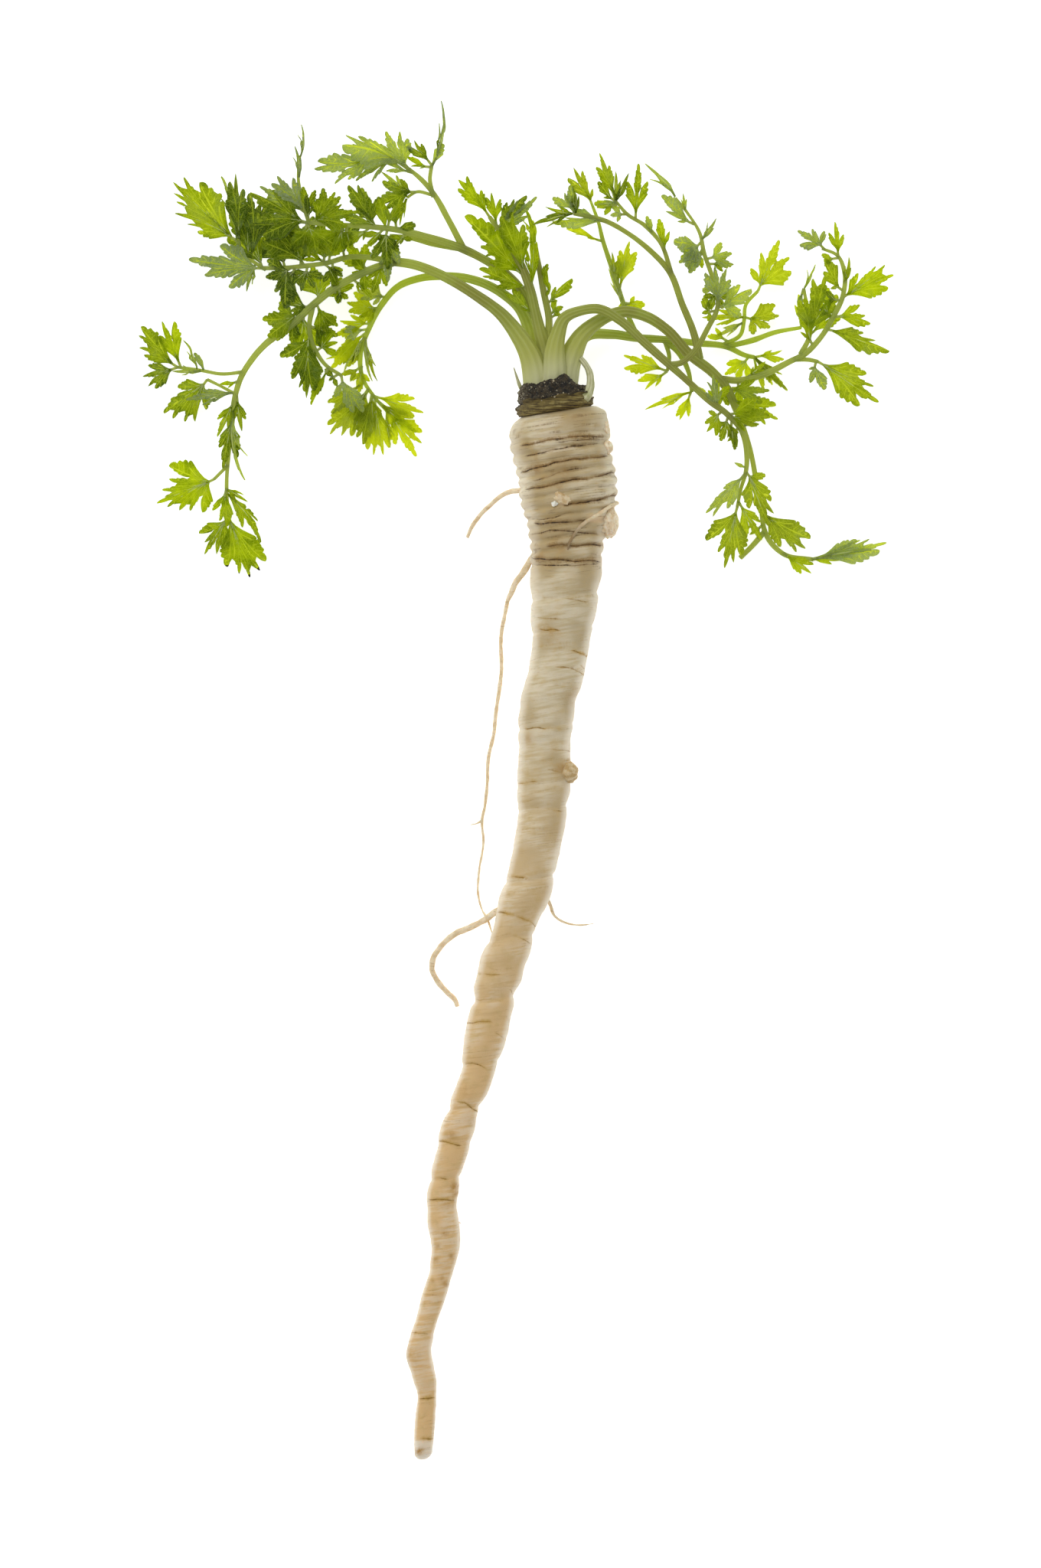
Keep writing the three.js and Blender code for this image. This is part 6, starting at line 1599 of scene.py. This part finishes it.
makeFrond("frond_right_middle", "leaf_green", 5, stalks=[
    [(1, 70, 12.5, 2.5), (1.5, 76.5, 13, 2.9), (3, 82.5, 14, 2.9), (6, 88, 15, 2.33), (11, 92, 16, 1.83),
     (18, 94.5, 16.5, 1.58), (24.5, 93, 16.5, 1.51), (30, 89.5, 16.5, 1.44), (36.5, 82.5, 16, 1.44),
     (43.5, 77, 15, 1.37), (47.5, 72.5, 14, 1.22), (50, 67, 12, 1.01), (52.5, 60.5, 9.5, 0.79),
     (54.5, 54, 7.5, 0.72), (56, 46, 6, 0.72), (57.5, 37.5, 5, 0.65), (58.5, 32, 4.2, 0.72),
     (60.5, 28.5, 3.2, 0.79), (64, 25.5, 1.9, 0.72), (72.5, 24, 0.85, 0.58)],
    [(58.5, 32, 4.1, 0.77), (55.5, 28.5, 2.6, 0.77), (51.5, 24.5, 1.2, 0.68)],
    [(45, 75.5, 14.6, 0.94), (51, 75, 13.2, 0.94), (58.5, 77, 12.4, 0.94), (65.5, 80.5, 12, 0.85),
     (69.5, 82.5, 12, 0.85), (74, 87, 12.5, 0.77), (78, 93.5, 13.5, 0.77), (80.5, 99, 14.5, 0.68),
     (81, 105.5, 15.5, 0.59), (79, 110.5, 16.5, 0.51), (74.5, 112.5, 17.5, 0.42)],
    [(68.5, 82.5, 12, 0.77), (71, 87.5, 11, 0.68), (70.5, 95.5, 10, 0.59), (69.5, 101.5, 9, 0.42)],
    [(66.5, 81, 12, 0.68), (71, 81, 10.8, 0.59), (73.5, 80.5, 10, 0.51)],
    [(39.5, 81, 15.7, 1.19), (38, 88, 15, 1.02), (34.5, 97, 14, 0.94), (31, 106, 13.5, 0.85),
     (25.5, 112, 14, 0.77), (19, 117, 15, 0.68), (12.5, 120.5, 16, 0.68), (3.5, 122.5, 17, 0.51)],
    [(31.5, 105.5, 13.5, 0.68), (28.5, 114, 15, 0.59), (24, 119, 17, 0.59), (18.5, 122.5, 19, 0.51),
     (15.5, 126, 20, 0.42)],
], leaves=[
    (73.5, 80.5, -2, 0, (87.5, 77), (89.5, 73.5), (91, 69), (85.5, 68)),
    (73, 80.5, -2, 1, (71, 78.5), (71.5, 74.5), (75.5, 72.5)),
    (81, 98, 1, 0, (85, 105.5), (90, 107.5), (92.5, 108), (95, 105), (93.5, 101.5)),
    (78, 93, -1, 0, (85.5, 96.5), (87, 93.5), (88.5, 91.5)),
    (76, 89.5, -2, 0, (86.5, 88.5), (90, 86.5), (94, 83.5)),
    (79.5, 110, 3, 0, (76.5, 117), (78, 120), (80.5, 116.5)),
    (75.5, 112.5, 2, 1, (67.5, 117.5), (68, 113.5), (71.5, 118), (75, 117.5)),
    (81, 100.5, 2, 0, (77, 101), (75, 106), (75, 109.5)),
    (71, 87.5, 2, 0, (68, 98), (72, 104), (75.5, 105), (79, 99.5)),
    (47.5, 72.5, 1, 0, (55.5, 75), (59.5, 72), (57.5, 68.5)),
    (49, 70, -2, 0, (61.5, 68), (62, 64), (58.5, 62.5), (55, 62.5)),
    (58.5, 38, 1, 0, (63, 27.5), (67.5, 26), (70, 27), (71.5, 30)),
    (63.5, 26, -0.6, 0, (69, 20), (72, 20), (72.5, 22.5)),
    (13, 120, -1, 1, (2.5, 124), (1, 121.5), (-2.5, 120.5)),
    (15.5, 126, 2, 0, (10, 135.5), (11, 139.5), (13.5, 136)),
    (21, 120.5, 3, 0, (19, 131.5), (22, 136.5), (24.5, 131.5)),
    (29.5, 111.5, 2, 0, (28, 121), (31, 117.5)),
    (78.5, 25, 0.4, 1, (85, 29.5), (88.5, 30), (91.5, 26.5)),
    (4, 122.5, 2, 1, (-2.5, 127), (1, 128.5), (3, 127.5)),
    (15.5, 125.5, -2, 0, (10.5, 131.5), (12, 127)),
    (16, 125, -3, 0, (9.5, 125.5), (12.5, 122)),
    (19, 122.5, -1, 1, (14.5, 125), (14, 122), (16, 120)),
    (47, 73, -3, 0, (42.5, 71.5), (44, 67), (48, 68)),
    (50.5, 75, -3, 0, (47.5, 71.5), (51.5, 68), (55, 71)),
    (53, 75, -2, 0, (55, 79), (58.5, 80.5), (59.5, 77.5)),
    (77.5, 92.5, -2, 0, (73.5, 94), (72.5, 99), (75, 102.5)),
    (72.5, 84.5, -2, 0, (68.5, 89), (67.5, 94.5), (69.5, 98.5)),
    (80.5, 97.5, -1, 0, (76.5, 97), (76, 100.5)),
    (79.5, 110, -1, 0, (74.5, 111), (75.5, 107.5)),
    (71.5, 88, -1, 0, (78, 96.5), (80, 93)),
    (69.5, 101.5, 0, 1, (67.5, 97.5), (68.5, 95.5)),
    (60, 34.5, 0, 0, (55.5, 33), (56.5, 30), (54, 31)),
], slips=[
    (hand, 81, 102.5, 82.5, 110, 2, 0.3, 30, 0), (hand, 69.5, 101.5, 72.5, 108.5, 2, 0.22, 45, 1),
    (hand, 71.5, 24, 93.5, 29, 0.6, 0.2, 10, 1), (hand, 71.5, 23.5, 81.5, 24, 0, 0.32, -10, 0),
    (slip, 4, 123, 2.5, 130.5, 1, 0.4, 0, 1), (hand, 3.5, 122.5, -8.5, 119, 1, 0.28, 20, 0),
    (hand, 4, 122.5, 3.5, 130, 3, 0.35, 30, 0), (hand, 3.5, 122.5, -4.5, 124, 2, 0.4, -20, 0),
    (hand, 15.5, 126, 15.5, 134.5, 2, 0.3, 0, 0), (hand, 15.5, 126, 19, 134, 2, 0.3, 30, 0),
    (hand, 16, 125.5, 10, 125, 0, 0.35, 0, 1), (slip, 26, 117, 24.5, 121.5, 2, 0.5, 0, 1),
])
makeFrond("frond_right_back", "leaf_lit", 6, stalks=[
    [(0.5, 70, 8, 1.19), (1, 76.5, 7.5, 1.36), (3.5, 83, 7, 1.44), (7.5, 88, 6.5, 1.44),
     (14.5, 88.5, 6.3, 1.36), (21.5, 87.5, 6, 1.19), (30, 87, 5.6, 1.02), (39, 86, 5.2, 0.94),
     (47.5, 85, 4.8, 0.85), (53, 82.5, 4.2, 0.68), (55.5, 82, 3.8, 0.59)],
    [(46.5, 85.5, 4.8, 0.68), (51.5, 88.5, 4.5, 0.59), (52.5, 92.5, 4, 0.59), (53, 97, 4.3, 0.51),
     (56.5, 101, 4.8, 0.42)],
    [(47.5, 85, 4.8, 0.77), (55.5, 87, 5, 0.77), (61, 89, 5, 0.68), (69, 90.5, 5, 0.51)],
    [(29, 87, 5.6, 0.77), (33.5, 83.5, 5.2, 0.77), (36.5, 78, 4.6, 0.68), (37.5, 72, 3.8, 0.51)],
    [(30, 86, 5.5, 0.68), (31, 82.5, 5, 0.59), (30.5, 78, 4.4, 0.42)],
    [(22, 87.5, 6, 0.77), (18.5, 95.5, 6.5, 0.68), (14.5, 107.5, 8, 0.68), (12, 115, 9, 0.59),
     (10.5, 121, 9.5, 0.51), (9, 125, 10, 0.42)],
], leaves=[
    (9, 125, 2, 0, (2, 133), (3.5, 136), (6, 135), (9, 130)),
    (12, 115, -1, 0, (1.5, 118.5), (4, 117), (7.5, 116)),
    (16.5, 102.5, 1, 0, (15.5, 109), (16.5, 110), (18.5, 110.5)),
    (18, 97.5, -1, 0, (16.5, 96.5), (24, 97), (21, 99.5)),
    (30.5, 78, 0, 0, (18, 79), (18, 82.5), (23, 82.5)),
    (30.5, 77.5, -1, 0, (22, 75), (24, 72.5), (27, 73.5)),
    (37.5, 72.5, -1, 0, (33, 65), (34, 64), (36.5, 65)),
    (54, 82.5, -1, 0, (47.5, 80), (47, 77), (50.5, 74.5), (54, 75)),
    (55.5, 82, -1, 0, (58.5, 76.5), (60.5, 74), (59, 79.5)),
    (55.5, 82, 1, 0, (64, 81.5), (63.5, 84), (60.5, 84)),
    (52.5, 93.5, 0, 0, (55, 88.5), (60, 90.5), (62.5, 94), (61.5, 97)),
    (56.5, 101, 1, 0, (54.5, 107.5), (57.5, 112), (62.5, 115.5), (65.5, 110.5), (66, 106.5)),
    (69, 90.5, 0, 0, (67, 97), (68, 100)),
    (16.5, 101, 2, 0, (17, 112.5), (19.5, 115), (21.5, 112)),
    (55.5, 82, 0, 0, (55.5, 75), (58, 72.5)),
    (47, 88, -1, 0, (44.5, 90.5), (42, 88)),
], slips=[
    (hand, 15.5, 105, 14.5, 112, 2, 0.3, 0, 0), (hand, 17.5, 96.5, 13.5, 107.5, 1, 0.22, 0, 1),
    (hand, 37.5, 72, 24, 66.5, 0, 0.22, 20, 0), (slip, 37, 73.5, 41.5, 72, 0, 0.5, 0, 0),
    (hand, 55.5, 82, 64.5, 73, 0, 0.25, 0, 0), (hand, 52.5, 93.5, 40.5, 93.5, 0, 0.35, 0, 0),
    (hand, 52.5, 92, 44, 87.5, 0, 0.3, 0, 1), (hand, 58.5, 81.5, 65, 72.5, 0, 0.3, 0, 0),
])


# The withered stalk, and a strip of old sheath left of the collar: X, Y, Z, radius.
withered = {
    "Sides": 14, "Ribs": 5.0, "Rib Depth": 0.16, "Knob Size": 0.002, "Knob Height": 0.0004, "spacing": 0.7,
    "tints": {"dull": "b4b67c", "light": "d2d0a8", "furrowShade": "8c8450"},
}
witheredRoutes = [
    [(5.2, 69.4, 18.6, 0.5), (6, 69.6, 18.8, 1.3), (7.2, 70.7, 18.4, 1.45), (8.1, 72.6, 17.8, 1.15),
     (8.3, 75, 17, 0.95), (7.9, 77.7, 16.2, 0.85), (6.2, 80.4, 15.6, 0.75), (4.4, 82.6, 14.4, 0.5)],
    [(-11.6, 72.6, 13.5, 0.55), (-12.6, 75.4, 13.8, 0.38), (-13.6, 78.6, 14, 0.1)],
]


def fibreFinish():
    made = Finish("withered_fibre")
    tints = withered["tints"]
    rib = made.stored("rib")
    blotches = made.noise(made.place(), 2.2, 3.0)
    base = made.mix(blotches.ramp(0.35, 0.65), tints["dull"], tints["light"])
    # Painted shade: darker in the furrows between the ribs.
    dry = made.mix(0.5 * rib.ramp(0.0, -1.0), base, tints["furrowShade"])
    return made.done(made.paint({
        "Base Color": dry, "Roughness": 0.7, "Normal": made.bump(rib + blotches, 0.2, 0.6),
    }))


withered["Material"] = fibreFinish()
witheredPiece = tubePiece("withered_stalk_dry", witheredRoutes, withered)
dress(witheredPiece, "withered_stalk")
print("withered stalk made")

print("pieces ride on the root")
